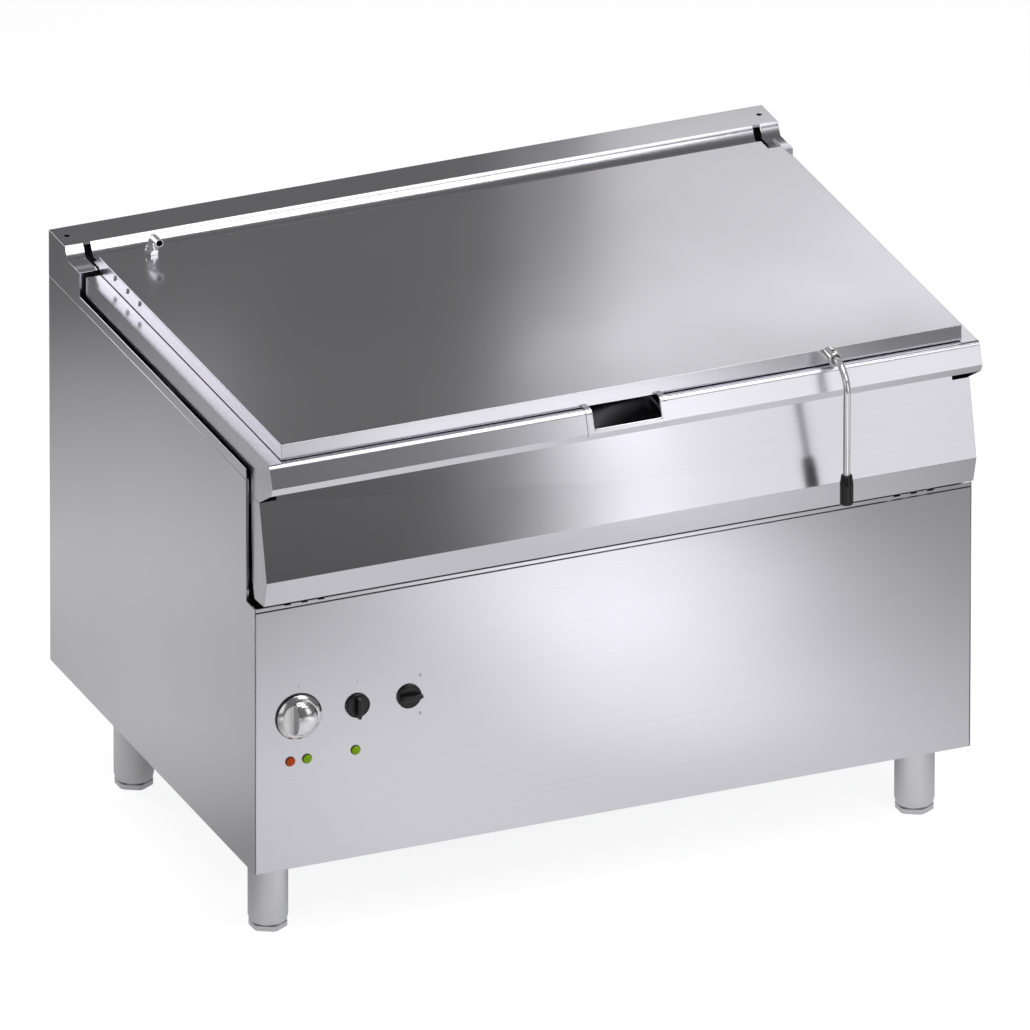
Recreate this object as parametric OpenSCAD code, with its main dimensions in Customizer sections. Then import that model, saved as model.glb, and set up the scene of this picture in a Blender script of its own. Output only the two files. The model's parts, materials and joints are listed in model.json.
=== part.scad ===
// Tilting bratt pan: a heated rectangular vessel with a hinged lid, carried on
// trunnions at its front edge and tipped forwards by a geared sector.
// Millimetres. X to the right, Y to the rear, Z up, floor at Z = 0.

/* [Cabinet] */
// Width over the side panels
body_w = 1200; // [1100:10:1500]
// Depth from the front panel to the rear face
body_d = 836; // [780:2:900]
// Height of the legs under the cabinet
leg_h = 132; // [110:1:180]
// Height of the front panel
front_h = 445; // [400:1:500]
// Height of the seam below the side strips, above the front panel
seam_h = 215; // [208:1:240]
// Thickness of the folded outer sheets
sheet = 1.5; // [1:0.1:2]

/* [Rear column] */
// Height of the column top above the side seam
column_h = 78.5; // [76:0.5:100]
// Depth of the flat column top
column_top_d = 65; // [60:1:75]
// Diameter of the two holes in the column top
column_hole_d = 9; // [6:0.5:12]
// Distance between the two holes in the column top
column_hole_pitch = 1165; // [1060:5:1165]

/* [Legs] */
// Diameter of a leg tube
leg_d = 63; // [50:1:70]
// Diameter of a levelling foot
foot_d = 60; // [48:1:66]
// Diameter of a foot's threaded spindle
spindle_d = 16; // [12:1:20]

/* [Vessel] */
// Inside length of the vessel, left to right
vessel_w = 1040; // [900:10:1040]
// Inside depth of the vessel, front to rear
vessel_l = 600; // [540:5:640]
// Height of the vessel wall, from floor to rim
vessel_h = 200; // [160:5:200]
// Radius of the vessel's coved corners
cove_r = 40; // [25:1:60]
// Thickness of the vessel's wall
vessel_t = 3; // [2:0.5:4]
// Width of the pouring channel
spout_w = 114; // [80:2:160]

/* [Lid] */
// Height of the lid's folded edge
lid_t = 26; // [24:1:40]
// Width of the lid
lid_w = 1136; // [1120:2:1140]
// Distance from the centre line to the lid handle
handle_x = 345; // [150:5:450]
// Diameter of the lid handle's rod
rod_d = 11; // [8:0.5:14]
// Drop from the rod's centre line down to the grip's lower end
handle_drop = 227; // [180:1:232]
// Length of the grip
grip_len = 50; // [40:1:80]

/* [Drive] */
// Gear module
gear_m = 4; // [4:1:4]
// Teeth on the full circle of the sector
sector_teeth = 100; // [98:1:100]
// Teeth on the pinion
pinion_teeth = 18; // [17:1:19]
// Face width of the gears
gear_b = 10; // [6:1:10]
// Diameter of the trunnion shafts
trunnion_d = 30; // [24:1:34]

/* [Controls] */
// Diameter of the temperature knob
knob_big_d = 77; // [60:1:84]
// Diameter of the two small knobs
knob_small_d = 40; // [34:1:48]
// Diameter of a lamp's lens
lamp_d = 15; // [12:1:20]

/* [Hidden] */
$fn = 64;

// Clearances
fit = 0.3;
running = 0.05;
near = 0.2;
pan_gap = 7;
eps = 0.01;
pinion_gap = 4;

// Outer faces of the cabinet
half_w = body_w / 2;
inner_w = half_w - sheet;
rail_z0 = front_h + 2;
rail_z1 = front_h + 8;
rail_d = 15;
rail_slot_left = half_w - 55;
rail_slot_right = half_w - 70;
rail_slot_pitch = 28;
panel_fold = 10;
seam_z = front_h + seam_h;
strip_y0 = 34;
strip_h = 18;
strip_tongue = 12;
side_fold = 12;
cutout_fold = 5;
back_fold = 12;
louvre_pitch = 16;
louvre_drop = 280;
louvre_z0 = seam_z - louvre_drop;
deck_t = 2;
deck_z = rail_z1 - 15;
tube = 30;
tube_wall = 2.5;
frame_y0 = rail_d + fit + sheet;
frame_y1 = body_d - back_fold - 2;

// Rear column, stepped down to a ledge in front of the pan's hinge
column_z = seam_z + column_h;
ledge_z = column_z - 20;
ledge_d = 50;
column_y2 = body_d - column_top_d;
column_y1 = column_y2 - 11;
column_y0 = column_y1 - ledge_d;
column_t = 2;
column_hole_y = body_d - 32;

// The pan stands in front of the column; its vessel, rim and axis follow from there
pan_back_gap = 10;
rim_rear_d = 60;
rim_front_d = 88;
rim_y1 = column_y0 - pan_back_gap;
vessel_y1 = rim_y1 - rim_rear_d;
vessel_y0 = vessel_y1 - vessel_l;
axis_y = vessel_y0 - 30;
axis_z = seam_z + 15;
rim_z = seam_z + 53.5;
rim_t = 2;
rim_w = half_w - pan_gap;
rim_skirt = 34;
rim_r = 8;
rim_edge_y = vessel_y0 - rim_front_d;
rim_nose = [rim_edge_y - 8, rim_z - rim_skirt];
rim_return = [rim_edge_y - 1, rim_z - rim_skirt - 14];
end_t = 1.5;

// Legs
leg_x = half_w - 57;
leg_y = [86, body_d - 204];
leg_wall = 2;
foot_h = 19;
plug_h = 30;
spindle_h = 72;

// Vessel and what hangs below it
vessel_z0 = rim_z - vessel_h;
vessel_x = vessel_w / 2;
plate_t = 10;
element_r = 4.2;
element_z = vessel_z0 - vessel_t - plate_t - element_r - near;
element_count = 6;
element_pitch = 44;
tray_t = 1.5;
tray_gap = 8;
tray_x = vessel_x + vessel_t + tray_gap;
tray_y0 = vessel_y0 - vessel_t - tray_gap;
tray_y1 = vessel_y1 + vessel_t + tray_gap;
tray_drop = 46.5;
tray_h = 140;
tray_z0 = vessel_z0 - vessel_t - plate_t - tray_drop;
tray_z1 = tray_z0 + tray_h;
buffer_r = 15;
buffer_x = vessel_x - 120;
buffer_y = vessel_y1 - 40;

// Pouring channel
spout_t = 2;
spout_z = rim_z - 29.5;
spout_x = spout_w / 2;
spout_flange = 10;
spout_frame_t = 1.5;

// Cradle that carries the vessel on the trunnions
cradle_x0 = vessel_x + vessel_t + 13;
cradle_t = 8;
cradle_x1 = cradle_x0 + cradle_t;
cradle_y0 = axis_y - 5;
cross_b = 30;
cross_h = 25;
cross_wall = 3;
cross_z0 = axis_z - 40;

// Drive: pitch radii, centre distance and where the pinion stands
sector_r = gear_m * sector_teeth / 2;
pinion_r = gear_m * pinion_teeth / 2;
mesh_angle = -8;
mesh_r = sector_r + pinion_r;
pinion_y = axis_y + mesh_r * cos(mesh_angle);
pinion_z = axis_z + mesh_r * sin(mesh_angle);
tilt_max = 80;
gear_x0 = cradle_x1;
gear_x1 = gear_x0 + gear_b;
pressure = 20;
backlash = 0.12;
shaft_r = 8;
hub_r = 24;
sector_rim_b = 22;
sector_window_r = 90;
sector_screw_r = 60;
sector_screw_angles = [-16, -48, -78];
pinion_tip_r = pinion_r + gear_m * 0.95;
parked_angle = mesh_angle - tilt_max;

// Fixed arms that hold the trunnions, clear of the casing's swing
arm_x0 = half_w - 38;
arm_x1 = half_w - 14;
arm_reach = 290;
post_d = 50;
arm_low = 7;
arm_high = 21;
post_y = [axis_y + arm_reach, axis_y + arm_reach + post_d];
arm_z = [axis_z - arm_low, axis_z + arm_high];
gusset = 30;
post_foot_t = 8;
boss_r = 28;
bush_t = 5;
bush_flange = 2;

// Worm gearbox above the deck and its motor below
gearbox_r = 20;
gearbox_front = pinion_y - 4;
gearbox_foot = 30;
gearbox_foot_t = 8;
coupling_x = -arm_x1 + 13;
coupling_y = pinion_y + 15;
coupling_r = 10;
coupling_flange_r = 18;
coupling_flange_h = 12;
motor_offset = 22;
motor_x = coupling_x + motor_offset;
motor_r = 34;
motor_h = 110;
motor_flange = 2;
motor_flange_h = 8;
motor_cap_h = 16;
motor_fin = 4;
motor_top = deck_z - deck_t - coupling_flange_h - motor_flange_h;

// Casing below the rim, in side view: leaning face, heel, underside and back lip
casing_x = rim_w + 0.5;
casing_t = 2;
casing_top = axis_z - 40;
casing_face_h = 125;
casing_h = 171;
casing_bulge = 43;
casing_lean = 29.7;
casing_lip = 28;
casing_back = 15;
casing_notch = 29;
casing_side = [[axis_y + casing_back + 4, casing_top],
    [axis_y + casing_lean - casing_bulge, casing_top],
    [axis_y - casing_bulge, casing_top - casing_face_h],
    [axis_y - casing_bulge + 12, casing_top - casing_h + 2],
    [axis_y + casing_back - 9, casing_top - casing_h],
    [axis_y + casing_back, casing_top - casing_h + casing_lip]];

// Lid and its hinge behind the rim
lid_x = lid_w / 2;
lid_y0 = rim_edge_y + 17;
lid_y1 = rim_y1 + 8;
lid_z0 = rim_z + 1.5;
lid_z1 = lid_z0 + lid_t;
lid_sheet = 1.5;
notch_x = [lid_x - 23, lid_x - 2];
notch_y = rim_y1 - 22;
hinge_y = rim_y1 + 28;
hinge_z = rim_z - 1.5;
slot_x = lid_x - 5;
slot_w = 12;
slot_z0 = rim_z - 24;
slot_mouth = 60;
pin_r = 4;
ear_x = [slot_x - 4, slot_x - 1];
arm_lid_x = [slot_x + 0.5, lid_x - lid_sheet];
lip_in = 15;
lip_h = 10;
screw_y = [rim_y1 - 155, rim_y1 - 106, rim_y1 - 55];
screw_r = 4.5;
screw_h = 2.2;

// Lid handle
boss_d = 23;
handle_boss_len = 29;
handle_z = lid_z1 - 7;
bend_r = 37.5;
rod_y = lid_y0 - handle_boss_len - 6 - bend_r;
grip_d = 21.3;
grip_z0 = handle_z - handle_drop;

// Steam vent on the lid
vent_x = -lid_x + 81;
vent_y = lid_y1 - 18;
vent_tube_r = 5.75;
vent_wall = 1;
vent_bend = 14;
vent_nut_h = 8;

// Controls on the front panel
knob_x = -half_w + 73;
knob_z = front_h - 186.5;
power_x = -half_w + 171;
tilt_x = -half_w + 257;
small_z = front_h - 185.5;
lamp_z = front_h - 261.3;
lamp_orange_x = -half_w + 59;
lamp_green_x = [-half_w + 87, -half_w + 168];
stem_r = 4;
switch_gap = 30;
skirt_t = 4;
knob_big_h = 24;
knob_small_h = 20;

// Under the cabinet, at the rear
gland_x = -half_w + 170;
gland_y = body_d - 96;
gland_bore = 20;
gland_thread = 32;
gland_nut = 42;
earth_x = gland_x + 60;
earth_d = 10;
earth_nut = 18.5;
contactor_x = [-half_w + 100, -half_w + 152];
contactor_y = 120;
contactor = [45, 85, 62];
contactor_head = [37, 49, 22];
terminal_y = gland_y - 110;
terminal_d = 40;
terminal_pitch = 16;

// Row origin: middle of the plan, on the floor
y_front = rod_y - grip_d / 2;
y_shift = -(body_d + y_front) / 2;

module place() {
    translate([0, y_shift, leg_h]) children();
}

// A side-view outline (y, z) drawn out along x
module along_x(x0, x1) {
    translate([x0, 0, 0]) rotate([90, 0, 90]) linear_extrude(x1 - x0) children();
}

module block(a, b) {
    translate(a) cube(b - a);
}

module both_sides() {
    children();
    mirror([1, 0, 0]) children();
}

module rod_x(x0, x1, y, z, r) {
    translate([x0, y, z]) rotate([0, 90, 0]) cylinder(r = r, h = x1 - x0);
}

module rod_y(y0, y1, x, z, r) {
    translate([x, y1, z]) rotate([90, 0, 0]) cylinder(r = r, h = y1 - y0);
}

// A folded sheet: the outline of a path and the same path moved to its left
function unit(v) = v / norm(v);
function left_of(a, b) = let (u = unit(b - a)) [-u[1], u[0]];
function miter(p, i) =
    i == 0 ? left_of(p[0], p[1]) :
    i == len(p) - 1 ? left_of(p[i - 1], p[i]) :
    let (n = left_of(p[i - 1], p[i]), m = left_of(p[i], p[i + 1])) (n + m) / (1 + n * m);
function folded(p, t) = concat(p, [for (i = [len(p) - 1 : -1 : 0]) p[i] + miter(p, i) * t]);
function arc(c, r, a0, a1, n = 6) =
    [for (i = [0 : n]) let (a = a0 + (a1 - a0) * i / n) c + r * [cos(a), sin(a)]];

// An upright tub with coved edges: x half width, y range, z range, cove radius
module tub(x, y, z, r) {
    block([-x + r, y[0], z[0] + r], [x - r, y[1], z[1]]);
    block([-x, y[0] + r, z[0] + r], [x, y[1] - r, z[1]]);
    block([-x + r, y[0] + r, z[0]], [x - r, y[1] - r, z[1]]);
    for (sx = [-1, 1]) {
        for (yy = [y[0] + r, y[1] - r]) {
            translate([sx * (x - r), yy, z[0] + r]) cylinder(r = r, h = z[1] - z[0] - r);
            translate([sx * (x - r), yy, z[0] + r]) sphere(r);
        }
    }
    for (yy = [y[0] + r, y[1] - r]) rod_x(-x + r, x - r, yy, z[0] + r, r);
    for (sx = [-1, 1]) rod_y(y[0] + r, y[1] - r, sx * (x - r), z[0] + r, r);
}

// Cabinet

module base_frame() {
    hollow = tube / 2 - tube_wall;
    color("silver") place() difference() {
        block([-inner_w + fit, frame_y0, sheet], [inner_w - fit, frame_y1, sheet + tube]);
        block([-inner_w + tube, frame_y0 + tube, 0], [inner_w - tube, frame_y1 - tube, 2 * tube]);
        for (y = [frame_y0 + tube / 2, frame_y1 - tube / 2]) {
            block([-inner_w + tube, y - hollow, sheet + tube_wall],
                [inner_w - tube, y + hollow, sheet + tube - tube_wall]);
        }
    }
}

module base_tray() {
    color("silver") place() difference() {
        block([-inner_w + fit, panel_fold + fit, 0], [inner_w - fit, body_d - sheet - fit, sheet]);
        translate([gland_x, gland_y, -1]) cylinder(d = gland_thread + near, h = sheet + 2);
        translate([earth_x, gland_y, -1]) cylinder(d = earth_d + near, h = sheet + 2);
        for (i = [0 : 9]) {
            translate([-180 + 40 * i, body_d / 2, 0]) cube([8, 160, 10], center = true);
        }
    }
}

module side_panel() {
    along_x(inner_w, half_w) polygon([[0, 0], [body_d, 0], [body_d, seam_z],
        [strip_y0, seam_z], [strip_y0, rail_z1], [0, rail_z1]]);
    block([half_w - cutout_fold, strip_y0, rail_z1], [half_w, strip_y0 + sheet, seam_z]);
    block([half_w - side_fold, rail_d + fit, sheet + near], [half_w, rail_d + fit + sheet, rail_z0 - 20]);
}

module side_panel_left() {
    color("lightgray") place() mirror([1, 0, 0]) side_panel();
}

module side_panel_right() {
    color("lightgray") place() side_panel();
}

module side_strips() {
    color("lightgray") place() both_sides() {
        block([inner_w, strip_y0, seam_z], [half_w, column_y0 - fit, seam_z + strip_h]);
        block([inner_w - sheet, strip_y0 + sheet + near, seam_z - strip_tongue],
            [inner_w, column_y0 - fit, seam_z + strip_h / 2]);
    }
}

module back_panel() {
    color("lightgray") place() difference() {
        block([-inner_w + fit, body_d - back_fold, sheet], [inner_w - fit, body_d, seam_z - fit]);
        block([-inner_w + fit + sheet, body_d - 2 * back_fold, 2 * sheet],
            [inner_w - fit - sheet, body_d - sheet, seam_z - fit - sheet]);
        for (i = [0 : 8], x = [-half_w / 2, half_w / 2]) {
            translate([x, body_d, louvre_z0 + 3 + louvre_pitch * i]) cube([240, 10, 6], center = true);
        }
    }
}

module front_panel() {
    w = inner_w - fit;
    color("lightgray") place() difference() {
        block([-w, 0, 0], [w, panel_fold, front_h]);
        block([-w + sheet, sheet, sheet], [w - sheet, panel_fold + 1, front_h - sheet]);
        for (p = [[knob_x, knob_z], [power_x, small_z], [tilt_x, small_z]]) {
            rod_y(-1, 5, p[0], p[1], stem_r + 1);
        }
        for (x = concat(lamp_orange_x, lamp_green_x)) rod_y(-1, 5, x, lamp_z, lamp_d / 2 - 1.3);
    }
}

// The lip over the front panel, with three vent slots near each end
module front_rail() {
    w = inner_w - fit;
    foot_z = deck_z - deck_t - 6;
    path = [[0, rail_z0], [0, rail_z1], [rail_d, rail_z1], [rail_d, foot_z], [rail_d + 14, foot_z]];
    slots = [for (i = [0 : 2]) each [-rail_slot_left + i * rail_slot_pitch, rail_slot_right - i * rail_slot_pitch]];
    color("lightgray") place() difference() {
        along_x(-w, w) polygon(folded([for (i = [len(path) - 1 : -1 : 0]) path[i]], sheet));
        for (x = slots) translate([x, 4, rail_z1]) cube([11, 10, 4.4], center = true);
    }
}

module rear_column() {
    outer = [[column_y0, slot_z0 - slot_mouth], [column_y0, ledge_z], [column_y1, ledge_z],
        [column_y2, column_z], [body_d, column_z], [body_d, seam_z]];
    color("silver") place() difference() {
        union() {
            along_x(-half_w, half_w) polygon(folded([for (i = [len(outer) - 1 : -1 : 0]) outer[i]], column_t));
            both_sides() along_x(inner_w, half_w) polygon(concat([[column_y0, seam_z]],
                [for (i = [1 : len(outer) - 1]) outer[i]]));
        }
        both_sides() {
            block([slot_x - slot_w / 2, column_y0 - 5, slot_z0],
                [slot_x + slot_w / 2, column_y2, column_z + 5]);
            translate([column_hole_pitch / 2, column_hole_y, column_z - 10])
                cylinder(d = column_hole_d, h = 20);
            block([inner_w - 40, column_y0 - 5, slot_z0 - slot_mouth - 10], [half_w + 1, column_y0 + 20, seam_z]);
        }
    }
}

// Floor of the well under the vessel, which catches what is spilt
module splash_deck() {
    color("gray") place() difference() {
        block([-inner_w + fit, rail_d + fit, deck_z - deck_t], [inner_w - fit, column_y0, deck_z]);
        both_sides() block([arm_x0 - fit, post_y[0] - fit, deck_z - 9], [arm_x1 + fit, post_y[1] + fit, deck_z + 5]);
        translate([coupling_x, coupling_y, deck_z - 9]) cylinder(r = coupling_r + 1, h = 20);
    }
}

module bearing_arm() {
    foot_z = sheet + tube;
    difference() {
        union() {
            along_x(arm_x0, arm_x1) polygon([[axis_y, arm_z[0]], [post_y[0] - gusset, arm_z[0]],
                [post_y[0], arm_z[0] - gusset], [post_y[0], foot_z], [post_y[1], foot_z],
                [post_y[1], arm_z[1]], [axis_y, arm_z[1]]]);
            rod_x(arm_x0, arm_x1, axis_y, axis_z, boss_r);
            block([arm_x0, post_y[0] - gusset, foot_z], [arm_x1, post_y[1] + gusset, foot_z + post_foot_t]);
        }
        rod_x(arm_x0 - 1, arm_x1 + 1, axis_y, axis_z, trunnion_d / 2 + bush_t + running);
    }
}

module bearing_arm_left() {
    color("dimgray") place() mirror([1, 0, 0]) bearing_arm();
}

module bearing_arm_right() {
    color("dimgray") place() bearing_arm();
}

module bearing_bushes() {
    r = trunnion_d / 2;
    color("peru") place() both_sides() difference() {
        union() {
            rod_x(arm_x0, arm_x1, axis_y, axis_z, r + bush_t);
            rod_x(arm_x0 - bush_flange, arm_x0, axis_y, axis_z, r + bush_t + 4);
        }
        rod_x(arm_x0 - 5, arm_x1 + 5, axis_y, axis_z, r + running);
    }
}

module leg_tubes() {
    color("silver") place() for (x = [-leg_x, leg_x], y = leg_y) {
        translate([x, y, foot_h - leg_h]) difference() {
            cylinder(d = leg_d, h = leg_h - foot_h);
            translate([0, 0, plug_h]) cylinder(d = leg_d - 2 * leg_wall, h = leg_h - foot_h - plug_h - 4);
            translate([0, 0, -1]) cylinder(d = spindle_d + 2 * running, h = plug_h + 2);
        }
    }
}

// Level-changing foot: hexagon below for the spanner, round pad above
module foot(x, y) {
    color("silver") place() translate([x, y, -leg_h]) {
        intersection() {
            cylinder(d = foot_d, h = foot_h - fit);
            union() {
                rotate([0, 0, 30]) cylinder(d = foot_d * 1.06, h = 8, $fn = 6);
                translate([0, 0, 7]) cylinder(d1 = foot_d - 10, d2 = foot_d, h = 5);
                translate([0, 0, 12]) cylinder(d = foot_d, h = foot_h);
            }
        }
        cylinder(d = spindle_d, h = foot_h + spindle_h);
    }
}

module foot_front_left() { foot(-leg_x, leg_y[0]); }
module foot_front_right() { foot(leg_x, leg_y[0]); }
module foot_rear_left() { foot(-leg_x, leg_y[1]); }
module foot_rear_right() { foot(leg_x, leg_y[1]); }

// Worm gear housing: a boss round the pinion's shaft and a slim body down to the deck
module gearbox() {
    color("slategray") place() mirror([1, 0, 0]) difference() {
        union() {
            rod_x(arm_x0, arm_x1, pinion_y, pinion_z, gearbox_r);
            along_x(arm_x0, arm_x1) polygon([[gearbox_front + 2, pinion_z + gearbox_r],
                [post_y[0], pinion_z - 4], [post_y[0], deck_z], [gearbox_front, deck_z],
                [gearbox_front, pinion_z - 3 * gearbox_r]]);
            block([arm_x0 - gearbox_foot, gearbox_front - 4, deck_z], [arm_x1, post_y[0], deck_z + gearbox_foot_t]);
        }
        rod_x(arm_x0 - 1, arm_x1 + 1, pinion_y, pinion_z, shaft_r + running);
    }
}

module gear_motor() {
    color("darkslategray") place() difference() {
        union() {
            translate([coupling_x, coupling_y, motor_top + motor_flange_h])
                cylinder(r = coupling_flange_r, h = coupling_flange_h);
            translate([motor_x, coupling_y, motor_top]) cylinder(r = motor_r + motor_flange, h = motor_flange_h);
            translate([motor_x, coupling_y, motor_top - motor_h]) cylinder(r = motor_r, h = motor_h);
            translate([motor_x, coupling_y, motor_top - motor_h - motor_cap_h])
                cylinder(r = motor_r - motor_fin, h = motor_cap_h);
            translate([coupling_x, coupling_y, deck_z - deck_t - 1]) cylinder(r = coupling_r, h = deck_t + 1);
        }
        for (a = [0 : 30 : 330]) {
            translate([motor_x, coupling_y, motor_top - motor_h + 5]) rotate([0, 0, a])
                translate([motor_r - motor_fin / 2, -motor_fin / 2, 0]) cube([motor_fin, motor_fin, motor_h - 10]);
        }
    }
}

// A switch or control body behind the front panel, with the bore for its stem
module control_body(x, z, w, d) {
    difference() {
        union() {
            block([x - w / 2, sheet, z - w / 2], [x + w / 2, sheet + d, z + w / 2]);
            rod_y(sheet + d - eps, sheet + d + 4, x, z, w / 2 - 4);
        }
        rod_y(0, sheet + switch_gap, x, z, stem_r + running);
    }
}

module thermostat() {
    color("gray") place() control_body(knob_x, knob_z, 52, 40);
}

module power_switch() {
    color("dimgray") place() control_body(power_x, small_z, 44, 46);
}

module tilt_switch() {
    color("dimgray") place() control_body(tilt_x, small_z, 44, 46);
}

module contactors() {
    inset = (contactor - contactor_head) / 2;
    color("gray") place() for (x = contactor_x) translate([x, contactor_y, sheet]) {
        cube(contactor);
        translate([inset[0], inset[1], contactor[2]]) cube(contactor_head);
    }
}

module terminal_block() {
    color("beige") place() difference() {
        block([gland_x - 40, terminal_y, sheet], [gland_x + 40, terminal_y + terminal_d, sheet + 36]);
        for (i = [-2 : 2], y = [terminal_y + 9, terminal_y + 27]) {
            translate([gland_x + terminal_pitch * i, y, sheet + 20]) cylinder(d = 6, h = 30);
        }
    }
}

module cable_gland() {
    color("dimgray") place() translate([gland_x, gland_y, 0]) difference() {
        union() {
            translate([0, 0, -6]) cylinder(d = gland_nut, h = 6, $fn = 6);
            translate([0, 0, -26]) cylinder(d = gland_bore + 14, h = 20);
            translate([0, 0, -22]) cylinder(d = gland_nut - 2, h = 12, $fn = 6);
            cylinder(d = gland_thread, h = 14);
        }
        translate([0, 0, -30]) cylinder(d = gland_bore, h = 60);
    }
}

module earth_stud() {
    color("goldenrod") place() translate([earth_x, gland_y, 0]) {
        translate([0, 0, -24]) cylinder(d = earth_d, h = 34);
        translate([0, 0, -8]) cylinder(d = earth_nut, h = 8, $fn = 6);
        translate([0, 0, sheet]) cylinder(d = earth_nut, h = 8, $fn = 6);
    }
}

module rest_buffers() {
    color("black") place() both_sides() translate([buffer_x, buffer_y, deck_z]) {
        cylinder(r = buffer_r, h = tray_z0 - deck_z - near);
    }
}

module lamp(x) {
    r = lamp_d / 2;
    translate([x, 0, lamp_z]) rotate([90, 0, 0]) {
        cylinder(r = r, h = 1.5);
        translate([0, 0, 1.5]) intersection() {
            translate([0, 0, -r * 0.25]) sphere(r * 1.03);
            cylinder(r = r - 0.5, h = r);
        }
    }
    rod_y(0, 26, x, lamp_z, r - 1.5);
}

module lamp_orange() {
    color("orange") place() lamp(lamp_orange_x);
}

module lamps_green() {
    color("green") place() for (x = lamp_green_x) lamp(x);
}

// Pan

module vessel() {
    r = cove_r;
    t = vessel_t;
    color("silver") place() difference() {
        tub(vessel_x + t, [vessel_y0 - t, vessel_y1 + t], [vessel_z0 - t, rim_z - rim_t], r + t);
        tub(vessel_x, [vessel_y0, vessel_y1], [vessel_z0, rim_z + r], r);
        block([-spout_x - spout_t, vessel_y0 - 20, spout_z - spout_t], [spout_x + spout_t, vessel_y0 + 5, rim_z]);
    }
}

module mouth() {
    r = cove_r;
    for (x = [-vessel_x + r, vessel_x - r], y = [vessel_y0 + r, vessel_y1 - r]) {
        translate([x, y, 0]) cylinder(r = r, h = 2 * rim_z);
    }
    block([-vessel_x, vessel_y0 + r, 0], [vessel_x, vessel_y1 - r, 2 * rim_z]);
    block([-vessel_x + r, vessel_y0, 0], [vessel_x - r, vessel_y1, 2 * rim_z]);
}

// The front of the rim in side view: deck edge, rounded shoulder, leaning face, return
function rim_front() = concat([[vessel_y0 - 2, rim_z]],
    arc([rim_edge_y + rim_r + 2, rim_z - rim_r], rim_r, 90, 168),
    [rim_nose, rim_return]);

module rim() {
    front = rim_front();
    rear = vessel_y0 - 7;
    side = concat([[rim_y1, rim_z]], [for (i = [1 : len(front) - 1]) front[i]],
        [[casing_side[1][0] + casing_t, casing_top], [rear, casing_top], [rear, rim_z - rim_skirt - 2],
        [rim_y1, rim_z - rim_skirt]]);
    color("silver") place() difference() {
        union() {
            along_x(-rim_w, rim_w) polygon(folded(front, rim_t));
            block([-rim_w, vessel_y0 - 3, rim_z - rim_t], [rim_w, rim_y1, rim_z]);
            block([-rim_w, rim_y1 - end_t, rim_z - rim_skirt], [rim_w, rim_y1, rim_z]);
            both_sides() along_x(rim_w - end_t, rim_w) polygon(side);
        }
        mouth();
        block([-spout_x - spout_t, rim_nose[0] - 5, spout_z - spout_t],
            [spout_x + spout_t, vessel_y0 + 5, rim_z + 5]);
    }
}

// U-shaped channel from the vessel to the front of the rim, with a folded frame round it
module pour_spout() {
    x = spout_x;
    front = rim_front();
    down = concat([[vessel_y0, rim_z]], [for (i = [1 : len(front) - 2]) front[i]],
        [(rim_nose + rim_return) / 2]);
    path = [for (i = [len(down) - 1 : -1 : 0]) down[i]];
    skin = [for (i = [1 : len(path) - 1]) path[i] + miter(path, i) * spout_frame_t / 2];
    color("gainsboro") place() difference() {
        union() {
            intersection() {
                along_x(-x - spout_t, x + spout_t) polygon(concat(skin,
                    [[vessel_y0, spout_z - spout_t], [rim_nose[0] + 3, spout_z - spout_t]]));
                block([-x - spout_t, rim_nose[0] - 5, spout_z - spout_t], [x + spout_t, vessel_y0, rim_z + 5]);
            }
            along_x(-x - spout_flange, x + spout_flange) polygon(folded(path, spout_frame_t));
        }
        block([-x, rim_nose[0] - 5, spout_z], [x, vessel_y0 + 5, rim_z + 5]);
    }
}

// The casing's face runs up behind the rim, except at its ends, and its underside is
// notched where the parked pan passes the pinion
module casing() {
    sheet_path = [for (i = [1 : 4]) casing_side[i]];
    lip_path = [casing_side[4], casing_side[5]];
    lip_x = cradle_x0 - 4;
    rise = (casing_side[1] - casing_side[2]) * 0.09;
    color("lightgray") place() difference() {
        union() {
            along_x(-casing_x, casing_x) polygon(folded(sheet_path, casing_t));
            along_x(-casing_x + casing_notch, casing_x - casing_notch)
                polygon(folded([casing_side[1] + rise, casing_side[1] - rise], casing_t));
            both_sides() along_x(casing_x - casing_t, casing_x) polygon(casing_side);
            along_x(-lip_x, lip_x) polygon(folded(lip_path, casing_t));
            block([-lip_x, casing_side[1][0] + 1, casing_top - casing_t],
                [lip_x, casing_side[0][0], casing_top]);
        }
        translate([0, axis_y, axis_z]) rod_x(-gear_x1 - 2, -gear_x0 + 2,
            mesh_r * cos(parked_angle), mesh_r * sin(parked_angle), pinion_tip_r + pinion_gap);
    }
}

module heat_plate() {
    color("dimgray") place() block([-vessel_x + cove_r, vessel_y0 + cove_r, vessel_z0 - vessel_t - plate_t],
        [vessel_x - cove_r, vessel_y1 - cove_r, vessel_z0 - vessel_t]);
}

// Hairpin elements clamped under the plate, their ends towards the left
module heating_elements() {
    x0 = -vessel_x + cove_r + 10;
    x1 = vessel_x - cove_r - 40;
    first = (vessel_y0 + vessel_y1) / 2 - (2 * element_count - 1) * element_pitch / 2;
    color("brown") place() for (i = [0 : element_count - 1]) {
        y = first + 2 * i * element_pitch;
        for (k = [0, 1]) rod_x(x0, x1, y + k * element_pitch, element_z, element_r);
        translate([x1, y + element_pitch / 2, element_z]) rotate([0, 0, -90])
            rotate_extrude(angle = 180) translate([element_pitch / 2, 0]) circle(element_r);
    }
}

module insulation() {
    color("khaki") place() block([-tray_x + tray_t, tray_y0 + tray_t, tray_z0 + tray_t],
        [tray_x - tray_t, tray_y1 - tray_t, element_z - element_r - near]);
}

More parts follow.
